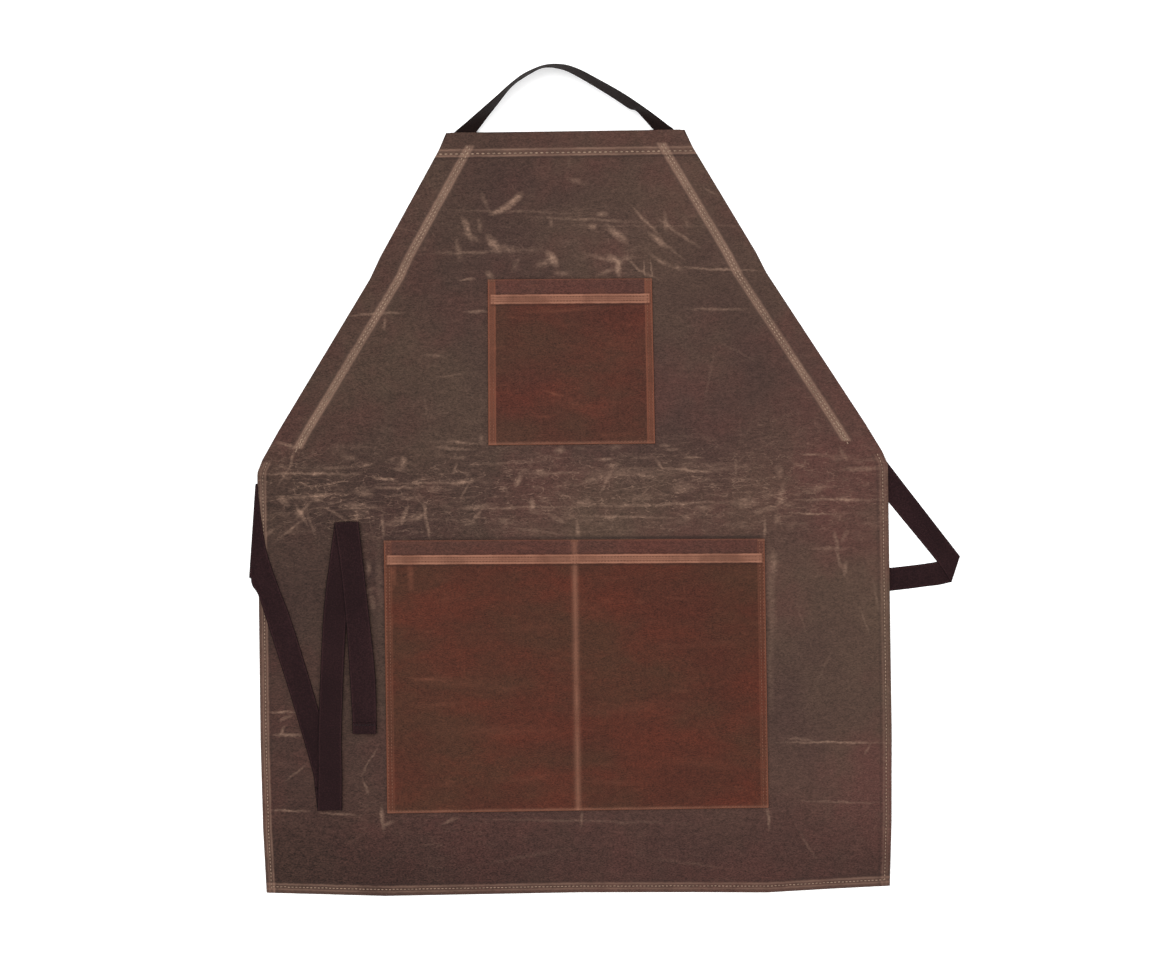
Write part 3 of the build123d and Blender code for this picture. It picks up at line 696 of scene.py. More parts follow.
def canvasWeave(graph, place, x, y):
    # Fine crossing threads, softened by wax, as a height from 0 to 1.
    fine = graph.noise(graph.turned(place, 0.0, (1.0, 1.7, 1.0)), 900.0, 2.0, 0.5)
    perMetre = 3900.0
    threads = (x * perMetre).maths("SINE") * (y * perMetre).maths("SINE")
    return fine * 0.8 + threads * 0.12 + 0.1


def makeBodyCanvas():
    # Brown in soft patches, darker at the low left. On it lie pale hems and seams, then the
    # rubbed marks and nets of fine creases, mostly at the waist and the top of the bib.
    v = canvasValues
    graph = Graph("waxedCanvas")
    place = graph.place()
    x, y = graph.axes(place)[:2]
    inset = graph.attribute("inset") * mm
    fromTop = graph.attribute("fromTop") * mm
    fromBottom = graph.attribute("fromBottom") * mm
    seam = bodyValues["channelSeam"] * mm

    patch = graph.noise(place, 3.6, 3.0, 0.6)
    redPatch = graph.noise(graph.turned(place, 0.0, (1, 1, 1), (3.1, 1.7, 0.0)), 5.5, 4.0, 0.65)
    grain = graph.noise(graph.turned(place, 0.0, (1.0, 1.9, 1.0)), v["grain"], 3.0, 0.7)
    colour = graph.mix(graph.ease(patch, 0.34, 0.66), plain(v["dark"]), plain(v["olive"]))
    lowRed = graph.ease(y * -1.0, 0.26, 0.42) * 0.5
    waistRed = graph.bell(y, -0.03, 0.07) * graph.ease(x, 0.06, 0.26) * 0.4
    redShare = (graph.ease(redPatch, 0.44, 0.66) * 0.8 + lowRed + waistRed).maths("MINIMUM", 1.0)
    colour = graph.mix(redShare, colour, plain(v["red"]))
    shade = graph.ease(y, -0.46, -0.33) * 0.30 + graph.ease(x, -0.36, 0.12) * 0.26 + 0.52
    shade = shade + graph.ease(x, 0.12, 0.34) * 0.05
    weave = canvasWeave(graph, place, x, y)
    mottle = graph.noise(graph.turned(place, 0.0, (1.0, 1.8, 1.0)), 130.0, 4.0, 0.7) - 0.5
    tone = (shade + (grain - 0.5) * 2.3 + (weave - 0.5) * 0.9 + mottle * 0.8).maths("MAXIMUM", 0.2)
    colour = graph.shaded(colour, tone)

    onBib = graph.ease(y, 0.002, 0.008)
    onSkirt = 1.0 - onBib
    ragged = graph.noise(place, 130.0, 3.0, 0.7)
    worn = graph.ease(graph.noise(place, 24.0, 4.0, 0.6), 0.3, 0.62) * 0.45 + 0.55
    rough = (ragged - 0.5) * 0.0018

    sideBand = (1.0 - graph.ease(inset + rough, 0.0092, 0.0108)) * onSkirt
    sideLines = graph.stripes(inset + rough, v["sideLines"])
    bottomBand = 1.0 - graph.ease(fromBottom + rough, 0.0104, 0.012)
    bottomLines = graph.stripes(fromBottom + rough, v["bottomLines"])
    topDown = fromTop + rough
    topBand = graph.ease(topDown, 0.0180, 0.0192) * (1.0 - graph.ease(topDown, 0.0264, 0.0272))
    topLines = graph.stripes(topDown, v["topLines"])
    seamReach = graph.ease(y, 0.0185, 0.0215) * (1.0 - graph.ease(y, 0.3475, 0.3505))
    seamBand = graph.bell(inset + rough, seam, 0.0045) * seamReach
    seamLines = graph.stripes(inset + rough, v["seamLines"]) * seamReach
    sideFade = 1.0 - graph.ease(x, 0.0, 0.1) * 0.5
    hemBands = sideBand * sideFade * 0.30 + bottomBand * 0.22 + topBand * 0.30 + seamBand * 0.46
    hemLines = sideLines * sideFade * onSkirt * 0.5 + bottomLines * 0.5 + topLines * 0.75 + seamLines * 0.6
    hems = ((hemBands + hemLines) * worn).maths("MINIMUM", 1.0)
    shadows = graph.bell(fromTop, 0.0284, 0.0012) * 0.5 + graph.bell(fromBottom, 0.0128, 0.0012) * 0.3
    shadows = shadows + graph.stripes(inset, v["seamShadows"]) * seamReach * 0.25
    shadows = shadows + graph.bell(inset, 0.0120, 0.0013) * onSkirt * 0.3
    mouthReach = graph.ease(x, -0.215, -0.195) * (1.0 - graph.ease(x, 0.200, 0.212))
    mouthShade = graph.bell(y + x * 0.0091, -0.0818, 0.0016) * (graph.ease(x, -0.1, 0.1) * 0.4 + 0.35)
    shadows = shadows + mouthShade * mouthReach

    waist = graph.bell(y, -0.030, 0.048) * (1.0 - graph.bell(x, 0.30, 0.06) * 0.5)
    bibTop = graph.bell(y, 0.250, 0.050) * graph.bell(x, 0.0, 0.17)
    wander = wandering(graph, place, 34.0, 0.005)
    wander = wandering(graph, wander, 150.0, 0.0035)
    marks = rubbedMarks(graph, place, bibMarks + waistMarks + lowMarks, wander)
    net = crackle(graph, wander, 4.0, 34.0, 2.6, 0.030)
    fineNet = crackle(graph, wander, -6.0, 60.0, 1.6, 0.040)
    long = creaseLines(graph, place, 3.0, 26.0, 4.2, 1.3, 0.012)
    where = graph.patches(place, 14.0, 3.0, 0.6, 0.44, 0.68, scale=(1, 2.0, 1), shift=(5.0, 2.0, 0.0))
    faint = graph.patches(place, 9.0, 3.0, 0.6, 0.50, 0.72, shift=(9.0, 4.0, 0.0))
    creases = (net * 0.22 + fineNet * 0.12) * waist * where + long * 0.42 * waist
    creases = creases + (net * 0.10 + fineNet * 0.12) * bibTop * where
    creases = creases + (long * 0.12 + net * 0.08) * faint
    cloud = graph.patches(place, 30.0, 5.0, 0.7, 0.50, 0.80,
                          angle=8.0, scale=(1.0, 2.6, 1.0), shift=(2.0, 6.0, 0.0))
    creases = creases + cloud * (waist * 0.50 + bibTop * 0.12 + 0.05)
    rub = (creases + marks).maths("MINIMUM", 0.9)
    rub = rub * ((grain - 0.5) * 1.6 + 0.95) * (graph.attribute("front") * 0.65 + 0.35)
    colour = graph.mix(rub.maths("MAXIMUM", 0.0), colour, plain(v["rub"]))
    colour = graph.mix(hems * 0.9, colour, plain(v["hemRub"]))
    paleSeam = graph.bell(inset + rough, seam, 0.0040) * seamReach * worn
    colour = graph.mix(paleSeam * ragged * 0.75, colour, plain(v["rub"]))
    colour = graph.mix(shadows, colour, plain(v["shadow"]))

    normal = graph.bump(weave, 0.5, 0.0006)
    normal = graph.bump(grain, 0.45, 0.0012, normal)
    wrinkles = graph.noise(graph.turned(place, 10.0, (1.0, 2.0, 1.0)), 16.0, 4.0, 0.6)
    normal = graph.bump(wrinkles, 0.14, 0.006, normal)
    roughness = 0.66 - (patch - 0.5) * 0.2 + rub * 0.2 + (grain - 0.5) * 0.12
    return graph.finish(colour, roughness, normal, v["specular"])


bodyCanvas = makeBodyCanvas()
bodyCloth = makeBodyCloth(bodyCanvas)
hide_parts("bib_panel", "skirt_panel")
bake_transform(bodyCloth)
for side in (-1, 1):
    flap = makeChannelFlap(side, bodyCanvas)
    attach(flap, "bib")
print("body cloth", len(bodyCloth.data.polygons), "faces")

pocketValues = {
    "chest": {
        "left": (-90.6, -92.4), "right": (89.4, 90.4), "bottom": (20.6, 20.0), "top": (202.4, 201.2),
        "dividers": (), "hemTop": 17.3, "hemBottom": 27.2, "body": "bib", "lift": 0.5, "band": 0.6,
        "tint": (1.0, 1.0, 1.03),
    },
    "lower": {
        "left": (-208.3, -208.6), "right": (208.6, 208.9), "bottom": (-380.6, -380.2), "top": (-81.6, -85.4),
        "dividers": (0.4,), "hemTop": 16.8, "hemBottom": 26.6, "body": "skirt", "lift": 1.1, "band": 0.24,
        "tint": (0.99, 0.92, 0.84),
    },
    "cloth": 0.8,
    "seam": 8.0,
    "rows": 3.6,
    "dark": (0.049, 0.0140, 0.0086),
    "olive": (0.045, 0.0176, 0.0100),
    "red": (0.067, 0.0160, 0.0090),
    "strip": (0.062, 0.0270, 0.0220),
    "rub": (0.236, 0.104, 0.066),
    "edge": (0.132, 0.045, 0.026),
    "shadow": (0.02, 0.008, 0.006),
    "specular": 0.10,
    "divider": 1.7,           # from a divider's middle to each of its two rows
    "edgeRound": 1.1,
}


def pocketPlace(values, u, w):
    # The point at shares u across and w up, on a four-sided patch that isn't quite square.
    leftX = values["left"][1] + (values["left"][0] - values["left"][1]) * w
    rightX = values["right"][1] + (values["right"][0] - values["right"][1]) * w
    lowY = values["bottom"][0] + (values["bottom"][1] - values["bottom"][0]) * u
    highY = values["top"][0] + (values["top"][1] - values["top"][0]) * u
    return leftX + (rightX - leftX) * u, lowY + (highY - lowY) * w


def awayFromDividers(values, x):
    # The sideways distance to the nearest divider, or a large one where there is none.
    return np.min([np.full(np.shape(x), 99.0), *[np.abs(x - place) for place in values["dividers"]]], axis=0)


def pocketTop(values, x, y, fromSide, fromLow, fromHigh, fromDivider):
    # Height of the pocket's face: the body's surface, plus two thicknesses along the seams
    # and one and a little air between them, plus grooves at the rows and a lifted mouth.
    cloth = pocketValues["cloth"]
    seam = np.minimum(np.minimum(fromSide, fromLow), fromDivider + 4.0)
    height = frontHeight(x, y) + 2.0 * cloth + 0.12
    inside = smoothStep(seam, pocketValues["seam"] - 0.8, pocketValues["seam"] + 1.2)
    height = height - 0.3 * inside + 0.22 * inside * waves(x, y, 31, 70.0)
    mouth = (1.0 - smoothStep(fromHigh, 2.0, 40.0)) * smoothStep(np.minimum(fromSide, fromDivider), 2.0, 45.0)
    height = height + values["lift"] * mouth
    hem = smoothStep(fromHigh, values["hemTop"] - 0.6, values["hemTop"] + 0.6)
    hem = hem * (1.0 - smoothStep(fromHigh, values["hemBottom"] - 0.6, values["hemBottom"] + 0.6))
    height = height + 0.25 * hem * smoothStep(fromSide, 2.0, 5.0)
    margin = (pocketValues["seam"] - pocketValues["rows"]) / 2
    for row in (margin, margin + pocketValues["rows"]):
        height = height - 0.22 * hump(fromSide, row, 0.6)
    height = height - 0.22 * hump(fromLow, margin, 0.6)
    return height - 0.4 * hump(fromDivider, pocketValues["divider"], 0.6)


def pocketGrid(values):
    # Lines across and up as shares of the width and height, close together at the borders,
    # the rows, the dividers and the hem.
    width = values["right"][0] - values["left"][0]
    tall = values["top"][0] - values["bottom"][0]
    fine = np.array([0.0, 0.1, 0.35, 0.75, 1.2, 2.2, 3.2, 4.4, 5.4, 6.2, 7.2, 8.4, 9.6])
    dividers = [d - values["left"][0] + np.array([-4.5, -3.2, -2.4, -1.7, -0.8, 0.0, 0.8, 1.7, 2.4, 3.2, 4.5])
                for d in values["dividers"]]
    u = spread(fine, width - fine, np.arange(12.0, width - 11.0, 3.4), *dividers)
    hem = np.array([values["hemTop"], values["hemBottom"]])
    w = spread(fine[:9], tall - fine, np.arange(8.5, tall - 31.0, 3.4), tall - 13.0,
               tall - hem[0] + np.array([-1.0, 0.0, 1.0]), tall - hem[1] + np.array([-1.0, 0.0, 1.0]),
               tall - 22.0, tall - 19.6, tall - 24.4)
    return u / width, w / tall, width, tall


def makePocket(name, values, material):
    # The face from pocketTop. Its back lies on the body along the seams and one layer under
    # the face between them, or two layers at the mouth's hem.
    u, w, width, tall = pocketGrid(values)
    u, w = np.meshgrid(u, w)
    x, y = pocketPlace(values, u, w)
    fromSide = np.minimum(u, 1.0 - u) * width
    fromLow, fromHigh = w * tall, (1.0 - w) * tall
    fromDivider = awayFromDividers(values, x)
    top = pocketTop(values, x, y, fromSide, fromLow, fromHigh, fromDivider)
    ground = frontHeight(x, y) + 0.02
    cloth = pocketValues["cloth"]
    layers = 1.0 + (1.0 - smoothStep(fromHigh, values["hemBottom"] - 0.4, values["hemBottom"] + 0.4))
    sewn = 1.0 - smoothStep(np.minimum(np.minimum(fromSide, fromLow), fromDivider + 5.5), 7.6, 8.4)
    under = (top - cloth * layers) * (1.0 - sewn) + ground * sewn
    under = np.maximum(under, ground)
    square = np.minimum(np.minimum(fromSide, fromLow), fromHigh)
    turn = roundOff(square, pocketValues["edgeRound"])
    meet = (top + under) / 2
    upper = meet + (top - meet) * turn
    lower = meet + (under - meet) * turn
    points, faces = closedSheet(np.stack([x, y, upper], -1), np.stack([x, y, lower], -1))
    attributes = {
        "fromSide": sheetValues(fromSide), "fromLow": sheetValues(fromLow),
        "fromHigh": sheetValues(fromHigh), "fromDivider": sheetValues(fromDivider),
    }
    return meshPiece(name, points, faces, material, attributes)


def makePocketCanvas(name, values):
    # Red-brown in soft patches, with a pale band at the mouth's hem, paler seams and edges,
    # and a few rubbed marks.
    v = pocketValues
    graph = Graph(name)
    place = graph.place()
    x, y = graph.axes(place)[:2]
    fromSide = graph.attribute("fromSide") * mm
    fromLow = graph.attribute("fromLow") * mm
    fromHigh = graph.attribute("fromHigh") * mm
    fromDivider = graph.attribute("fromDivider") * mm
    moved = graph.turned(place, 0.0, (1.0, 1.6, 1.0), (values["hemTop"], 0.0, 0.0))
    patch = graph.noise(moved, 7.0, 4.0, 0.6)
    redPatch = graph.noise(graph.turned(place, 0.0, (1.0, 2.0, 1.0), (1.0, 8.0, 0.0)), 9.0, 4.0, 0.6)
    grain = graph.noise(graph.turned(place, 0.0, (1.0, 2.1, 1.0)), canvasValues["grain"], 3.0, 0.7)
    weave = canvasWeave(graph, place, x, y)
    tinted = [[c * t for c, t in zip(v[key], values["tint"])] for key in ("dark", "olive", "red")]
    dark, olive, red = [plain(c) for c in tinted]
    colour = graph.mix(graph.ease(patch, 0.36, 0.64), dark, olive)
    colour = graph.mix(graph.ease(redPatch, 0.42, 0.7) * 0.8, colour, red)
    hemTop, hemBottom = values["hemTop"] * mm, values["hemBottom"] * mm
    strip = 1.0 - graph.ease(fromHigh, hemTop - 0.0015, hemTop)
    colour = graph.mix(strip * 0.5, colour, plain(v["strip"]))
    mottle = graph.noise(graph.turned(place, 0.0, (1.0, 1.7, 1.0)), 150.0, 4.0, 0.7) - 0.5
    tone = ((grain - 0.5) * 2.4 + (weave - 0.5) * 0.9 + mottle * 1.1 + 0.98).maths("MAXIMUM", 0.2)
    colour = graph.shaded(colour, tone)
    ragged = (graph.noise(place, 120.0, 3.0, 0.7) - 0.5) * 0.0016
    worn = graph.ease(graph.noise(place, 26.0, 4.0, 0.6), 0.3, 0.62) * 0.45 + 0.55
    topDown = fromHigh + ragged
    hemBand = graph.ease(topDown, hemTop - 0.0006, hemTop + 0.0003)
    hemBand = hemBand * (1.0 - graph.ease(topDown, hemBottom - 0.0004, hemBottom + 0.0005))
    inward = graph.ease(fromSide, 0.002, 0.005)
    sideBand = 1.0 - graph.ease(fromSide + ragged, 0.0076, 0.0092)
    rowLines = graph.bell(fromSide + ragged, 0.0078, 0.0008) * 0.5
    hemLines = graph.bell(topDown, hemTop + 0.0006, 0.0007) + graph.bell(topDown, hemBottom - 0.0008, 0.0008)
    lowLine = graph.bell(fromLow + ragged, 0.0016, 0.0016)
    edges = graph.bell(fromSide + ragged, 0.0006, 0.0009) + graph.bell(topDown, 0.0006, 0.0009) * 0.6
    edges = edges + graph.bell(fromLow + ragged, 0.0004, 0.0007)
    divider = graph.bell(fromDivider, 0.0, 0.0032)
    wander = wandering(graph, wandering(graph, place, 40.0, 0.005), 150.0, 0.003)
    marks = rubbedMarks(graph, place, pocketMarks, wander)
    creases = creaseLines(graph, place, 2.0, 26.0, 4.0, 2.2, 0.010)
    where = graph.patches(place, 12.0, 3.0, 0.6, 0.5, 0.72, scale=(1, 2, 1), shift=(3.0, 9.0, 0.0))
    cloud = graph.patches(place, 26.0, 5.0, 0.7, 0.54, 0.82,
                          angle=4.0, scale=(1.0, 3.2, 1.0), shift=(4.0, 6.0, 0.0))
    band = hemBand * inward * 0.78 + hemLines * inward * 0.3 + lowLine * 0.34 + divider * 0.45
    band = band.maths("MINIMUM", 1.0)
    rub = sideBand * worn * values["band"] + rowLines * values["band"] + edges * 0.75 + creases * where * 0.3
    rub = (rub + cloud * 0.3 + marks).maths("MINIMUM", 1.0)
    shadows = graph.bell(fromHigh, hemBottom + 0.0014, 0.0012) * 0.5 * inward
    shadows = shadows + graph.bell(fromHigh, hemTop - 0.0012, 0.0010) * 0.25 * inward
    rows = graph.bell(fromHigh, hemTop + 0.0026, 0.0006) + graph.bell(fromHigh, hemBottom - 0.0028, 0.0006)
    shadows = shadows + (rows + graph.bell(fromHigh, hemTop + 0.0048, 0.0005)) * 0.34 * inward
    colour = graph.mix(rub, colour, plain(v["edge"]))
    colour = graph.mix(band * worn, colour, plain(v["rub"]))
    colour = graph.mix(shadows, colour, plain(v["shadow"]))
    normal = graph.bump(weave, 0.45, 0.0006)
    normal = graph.bump(grain, 0.4, 0.0012, normal)
    roughness = 0.62 + rub * 0.15 - (patch - 0.5) * 0.2 + (grain - 0.5) * 0.1
    return graph.finish(colour, roughness, normal, v["specular"])


for key, node, width, length in (
    ("chest", "chest_pocket", 0.202, 0.222),
    ("lower", "lower_pocket", 0.437, 0.336),
):
    canvas = makePocketCanvas(key + "PocketCanvas", pocketValues[key])
    cloth = makePocket(key + "Pocket", pocketValues[key], canvas)
    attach(cloth, pocketValues[key]["body"])
    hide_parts(node)
print("pockets")

strapValues = {
    "width": 25.4,
    "thick": 0.7,
    "lowRun": 0.45,           # heights of the tape's middle
    "firstRun": 4.40,
    "secondRun": 5.42,
    "thirdRun": 6.22,
    "channelZ": 2.35,
    "colour": (0.0085, 0.0026, 0.0033),
    "pale": (0.029, 0.0110, 0.0118),
    # Painted shadow: the near-black colour laid along the tape's very edges.
    "edgeShadow": (0.0015, 0.0008, 0.0010),
    "loopShade": (0.42, 0.42, 0.26),    # the loop stands on edge and looks darker
    "ribs": 4200.0,
    "ends": 5200.0,
    "specular": 0.10,
}


def curve(points, count):
    # A smooth line through the points: cubic pieces whose slope at each point is along its
    # two neighbours, sampled evenly by number.
    points = np.asarray(points, float)
    slope = np.gradient(points, axis=0)
    place = np.linspace(0.0, len(points) - 1.0, count)
    k = np.minimum(place.astype(int), len(points) - 2)
    t = (place - k)[:, None]
    toPlaces = (2 * t**3 - 3 * t**2 + 1) * points[k] + (-2 * t**3 + 3 * t**2) * points[k + 1]
    toSlopes = (t**3 - 2 * t**2 + t) * slope[k] + (t**3 - t**2) * slope[k + 1]
    return toPlaces + toSlopes


def straight(points, count):
    # Straight stretches through the points, with places spaced evenly along them.
    points = np.asarray(points, float)
    steps = stepsAlong(points)
    place = np.linspace(0.0, steps[-1], count)
    return np.stack([np.interp(place, steps, points[:, k]) for k in range(points.shape[1])], -1)


def run(firstBorder, secondBorder, zStart, zEnd, count, smooth=True):
    # Stations of a flat run between two borders drawn in plan, rising evenly.
    line = curve if smooth else straight
    first, second = line(firstBorder, count), line(secondBorder, count)
    z = np.linspace(zStart, zEnd, count)[:, None]
    return np.stack([np.hstack([first, z]), np.hstack([second, z])], 1)


def roll(first, second, zStart, zEnd, away, count=11):
    # Stations round a fold line from one level to the next: a half circle that bulges away.
    angle = np.linspace(0.0, math.pi, count)[1:-1, None]
    radius = (zEnd - zStart) / 2
    out = np.sin(angle) * abs(radius)
    z = (zStart + zEnd) / 2 - np.cos(angle) * radius
    away = np.asarray(away, float) / np.linalg.norm(away)
    borders = [np.hstack([np.asarray(p, float)[None, :] + out * away[None, :], z]) for p in (first, second)]
    return np.stack(borders, 1)


def makeStrap(name, stations, material):
    # A flat tape: at each station a thin rounded section from border to border, offset from
    # the middle surface along the normal, which is width x direction.
    thick = strapValues["thick"]
    middle = stations.mean(1)
    width = stations[:, 1] - stations[:, 0]
    along = np.gradient(middle, axis=0)
    normal = np.cross(width, along)
    normal /= np.linalg.norm(normal, axis=1, keepdims=True)
    share = np.concatenate([[0.0, 0.006, 0.022], np.linspace(0.06, 0.94, 5), [0.978, 0.994, 1.0]])
    fromEdge = np.minimum(share, 1.0 - share) * strapValues["width"]
    base = stations[:, None, 0] + width[:, None, :] * share[None, :, None]
    ends = np.ones((len(stations), 1))
    ends[[0, -1]] = 0.0
    half = (thick / 2) * roundOff(fromEdge, 0.5)[None, :] * ends
    offset = normal[:, None, :] * half[:, :, None]
    points, faces = closedSheet(base + offset, base - offset)
    length = stepsAlong(middle)
    alongGrid = np.repeat(length[:, None], len(share), 1)
    acrossGrid = np.repeat(share[None, :] * strapValues["width"], len(stations), 0)
    uv = np.stack([sheetValues(alongGrid), sheetValues(acrossGrid)], -1) * mm
    piece = meshPiece(name, points, faces, material, None, uv)
    return piece, length[-1] * mm


def makeWebbing(name, shade):
    # Woven tape: slanting ribs that turn back at the middle, a painted highlight as a pale line just inside
    # each rim, and painted shadow as a dark line along the very edges.
    v = strapValues
    graph = Graph(name)
    uv = graph.add("ShaderNodeUVMap", {"uv_map": "cloth"})
    place = graph.place()
    along, across = graph.axes(uv)[:2]
    centre = (across - v["width"] / 2 * mm).maths("ABSOLUTE")
    ribs = ((along + centre) * v["ribs"]).maths("SINE")
    ends = (across * v["ends"]).maths("SINE") * 0.5 + 0.5
    height = ribs * 0.35 + ends * 0.2 + 0.5
    fuzz = graph.noise(place, 700.0, 3.0, 0.7)
    patch = graph.noise(place, 12.0, 3.0, 0.6)
    # Painted highlight: a pale line just inside each rim of the tape.
    rimHighlight = graph.bell(centre, 0.0112, 0.0005)
    share = height * 0.3 + (fuzz - 0.5) * 2.6 + (patch - 0.5) * 0.9 + rimHighlight * 0.4
    dark, pale = [[c * s for c, s in zip(v[key], shade)] for key in ("colour", "pale")]
    colour = graph.mix(share.maths("MAXIMUM", 0.0).maths("MINIMUM", 1.0), plain(dark), plain(pale))
    # Painted shadow: the tape's very edges are darkened to near black.
    colour = graph.mix(graph.ease(centre, 0.0119, 0.0126) * 0.85, colour, plain(v["edgeShadow"]))
    normal = graph.bump(height, 0.6, 0.0005)
    normal = graph.bump(fuzz, 0.3, 0.0006, normal)
    return graph.finish(colour, 0.86 + (fuzz - 0.5) * 0.1, normal, v["specular"])


webbing = makeWebbing("webbing", (1.0, 1.0, 1.0))
loopWebbing = makeWebbing("loopWebbing", strapValues["loopShade"])


def channelRun(side, count=60):
    # The tape inside a slanted channel, from near its top mouth to its lower mouth.
    share = np.linspace(0.0, 1.0, count)
    topY = 340.0
    borders = []
    for inset, lowY in ((1.7, 31.0), (26.4, 18.6)):
        y = topY + (lowY - topY) * share
        borders.append(np.stack([edgePoint(side, inset, y), y, np.full(count, strapValues["channelZ"])], -1))
    return np.stack(borders, 1)


def joined(channel, under):
    # The channel's tape, a short even ramp down, and the run under the cloth.
    down = np.linspace(0.0, 1.0, 8)[1:-1, None, None]
    return np.concatenate([channel, channel[-1] + (under[0] - channel[-1]) * down, under])


def makeLeftStrap():
    # Channel, under the side hem, round the edge, and down the front.
    v = strapValues
    wrapHigh, wrapLow = (-345.9, -18.0), (-354.2, -121.0)
    under = run([(-333.0, 11.0), (-341.5, -7.0), wrapHigh], [(-304.5, 10.0), (-324.0, -43.0), wrapLow],
                v["lowRun"], v["lowRun"], 26, False)
    edge = roll(wrapHigh, wrapLow, v["lowRun"], v["firstRun"], (-1.0, 0.07), 13)
    front = run(
        [wrapHigh, (-342.4, -52.0), (-336.2, -92.0), (-323.4, -132.5), (-310.8, -167.0), (-287.0, -248.0),
         (-266.0, -330.0), (-262.4, -350.0)],
        [wrapLow, (-353.8, -125.5), (-352.2, -130.5), (-346.4, -140.0), (-337.6, -168.0), (-312.8, -250.0),
         (-290.6, -330.0), (-287.4, -352.0)],
        v["firstRun"], v["firstRun"], 70)
    return np.concatenate([joined(channelRun(-1), under), edge, front])


def makeLooseTie():
    # The end of the first run, the low fold, the second run, the high fold, the third run
    # and the end turned over.
    v = strapValues
    lowFirst, lowSecond = (-257.8, -375.2), (-285.0, -375.6)
    highFirst, highSecond = (-235.2, -61.4), (-261.8, -62.2)
    start = run([(-262.3, -350.4), lowFirst], [(-287.3, -352.4), lowSecond], v["firstRun"], v["firstRun"], 8)
    low = roll(lowFirst, lowSecond, v["firstRun"], v["secondRun"], (0.0, -1.0), 13)
    second = run(
        [lowFirst, (-257.0, -339.5), (-256.8, -287.0), (-250.4, -171.0), (-241.0, -100.0), highFirst],
        [lowSecond, (-283.6, -339.5), (-282.6, -287.0), (-275.9, -167.0), (-267.5, -100.0), highSecond],
        v["secondRun"], v["secondRun"] + 0.1, 90)
    high = roll(highFirst, highSecond, v["secondRun"] + 0.1, v["thirdRun"] + 0.3, (0.0, 1.0), 13)
    endFirst, endSecond = (-219.2, -292.4), (-245.2, -292.0)
    third = run(
        [highFirst, (-229.6, -118.5), (-224.4, -171.0), (-219.2, -230.0), (-218.6, -278.0), endFirst],
        [highSecond, (-256.0, -110.0), (-250.6, -171.0), (-247.2, -235.0), (-245.4, -278.0), endSecond],
        v["thirdRun"] + 0.3, v["thirdRun"], 80)
    end = roll(endFirst, endSecond, v["thirdRun"], v["thirdRun"] + 0.95, (0.0, -1.0), 9)
    back = run([endFirst, (-219.0, -280.6)], [endSecond, (-245.4, -280.2)],
               v["thirdRun"] + 0.95, v["thirdRun"] + 0.8, 8)
    return np.concatenate([start, low, second[1:], high, third[1:], end, back])


def makeRightStrap():
    # The channel's tape comes down to the table under the waist corner and stops there,
    # where the tie swivels.
    v = strapValues
    under = run([(332.5, 11.6), (335.0, 8.0)], [(304.0, 11.6), (308.0, 5.0)],
                v["lowRun"] + 0.02, v["lowRun"] + 0.9, 4, False)
    return joined(channelRun(1), under)


def makeRightTie():
    # Out from under the corner, rising onto the fold, and back along the table.
    v = strapValues
    foldFirst, foldSecond = (422.0, -107.4), (412.0, -136.4)
    upper = v["lowRun"] + 0.85
    out = run(
        [(330.6, 16.0), (343.6, -2.6), (383.0, -55.5), foldFirst],
        [(310.2, 0.6), (322.0, -16.0), (344.6, -47.1), (396.4, -112.6), foldSecond],
        v["lowRun"], v["lowRun"], 60)
    out[:, :, 2] += (upper - v["lowRun"]) * smoothStep(out[:, :, 0].mean(1), 352.0, 385.0)[:, None]
    fold = roll(foldFirst, foldSecond, upper, v["lowRun"], (1.0, -0.35), 11)
    back = run(
        [foldFirst, (396.0, -113.8), (345.8, -119.6), (220.0, -131.0), (90.0, -150.0)],
        [foldSecond, (399.0, -139.2), (386.0, -140.6), (345.4, -145.0), (217.0, -156.4), (87.0, -175.2)],
        v["lowRun"], v["lowRun"], 90)
    return np.concatenate([out, fold, back[1:]])


def makeNeckLoop():
    # Out of the left channel, up on edge over the top and down into the right channel. Each
    # place gives both borders, outer then inner.
    z = strapValues["channelZ"]
    outer = [
        (-143.5, 341.0, z), (-131.5, 356.0, z), (-124.4, 364.4, 2.2), (-112.0, 374.8, 1.4),
        (-100.0, 385.0, 0.9), (-80.0, 402.0, 0.7), (-63.2, 416.6, 0.6), (-48.0, 427.6, 0.6),
        (-30.0, 435.4, 0.6), (-18.0, 437.6, 0.6), (-8.0, 437.4, 0.6), (2.0, 435.6, 0.6),
        (16.0, 430.0, 0.6), (32.0, 421.2, 0.6), (50.0, 411.0, 0.6), (63.0, 403.0, 0.6),
        (75.0, 394.8, 0.6), (88.0, 385.4, 0.7), (100.0, 376.2, 1.1), (109.0, 369.0, 1.7),
        (114.8, 364.4, 2.2), (122.0, 355.0, z), (133.0, 341.0, z),
    ]
    inner = [
        (-117.0, 341.0, z), (-105.2, 355.0, z), (-100.4, 364.0, 3.0), (-94.0, 371.0, 10.0),
        (-86.6, 379.2, 17.5), (-78.4, 388.4, 22.3), (-61.4, 408.6, 25.2), (-46.2, 419.6, 25.4),
        (-30.0, 428.2, 25.4), (-19.6, 429.6, 25.4), (-10.4, 428.2, 25.4), (-1.0, 425.4, 25.2),
        (12.0, 418.6, 24.6), (27.0, 409.8, 23.4), (45.0, 398.6, 22.6), (57.0, 390.6, 21.8),
        (67.0, 384.2, 20.0), (74.0, 382.4, 17.5), (82.0, 374.8, 12.0), (89.6, 367.2, 5.5),
        (94.0, 362.6, 2.9), (98.4, 354.6, z), (107.0, 341.0, z),
    ]
    return np.stack([curve(outer, 150), curve(inner, 150)], 1)


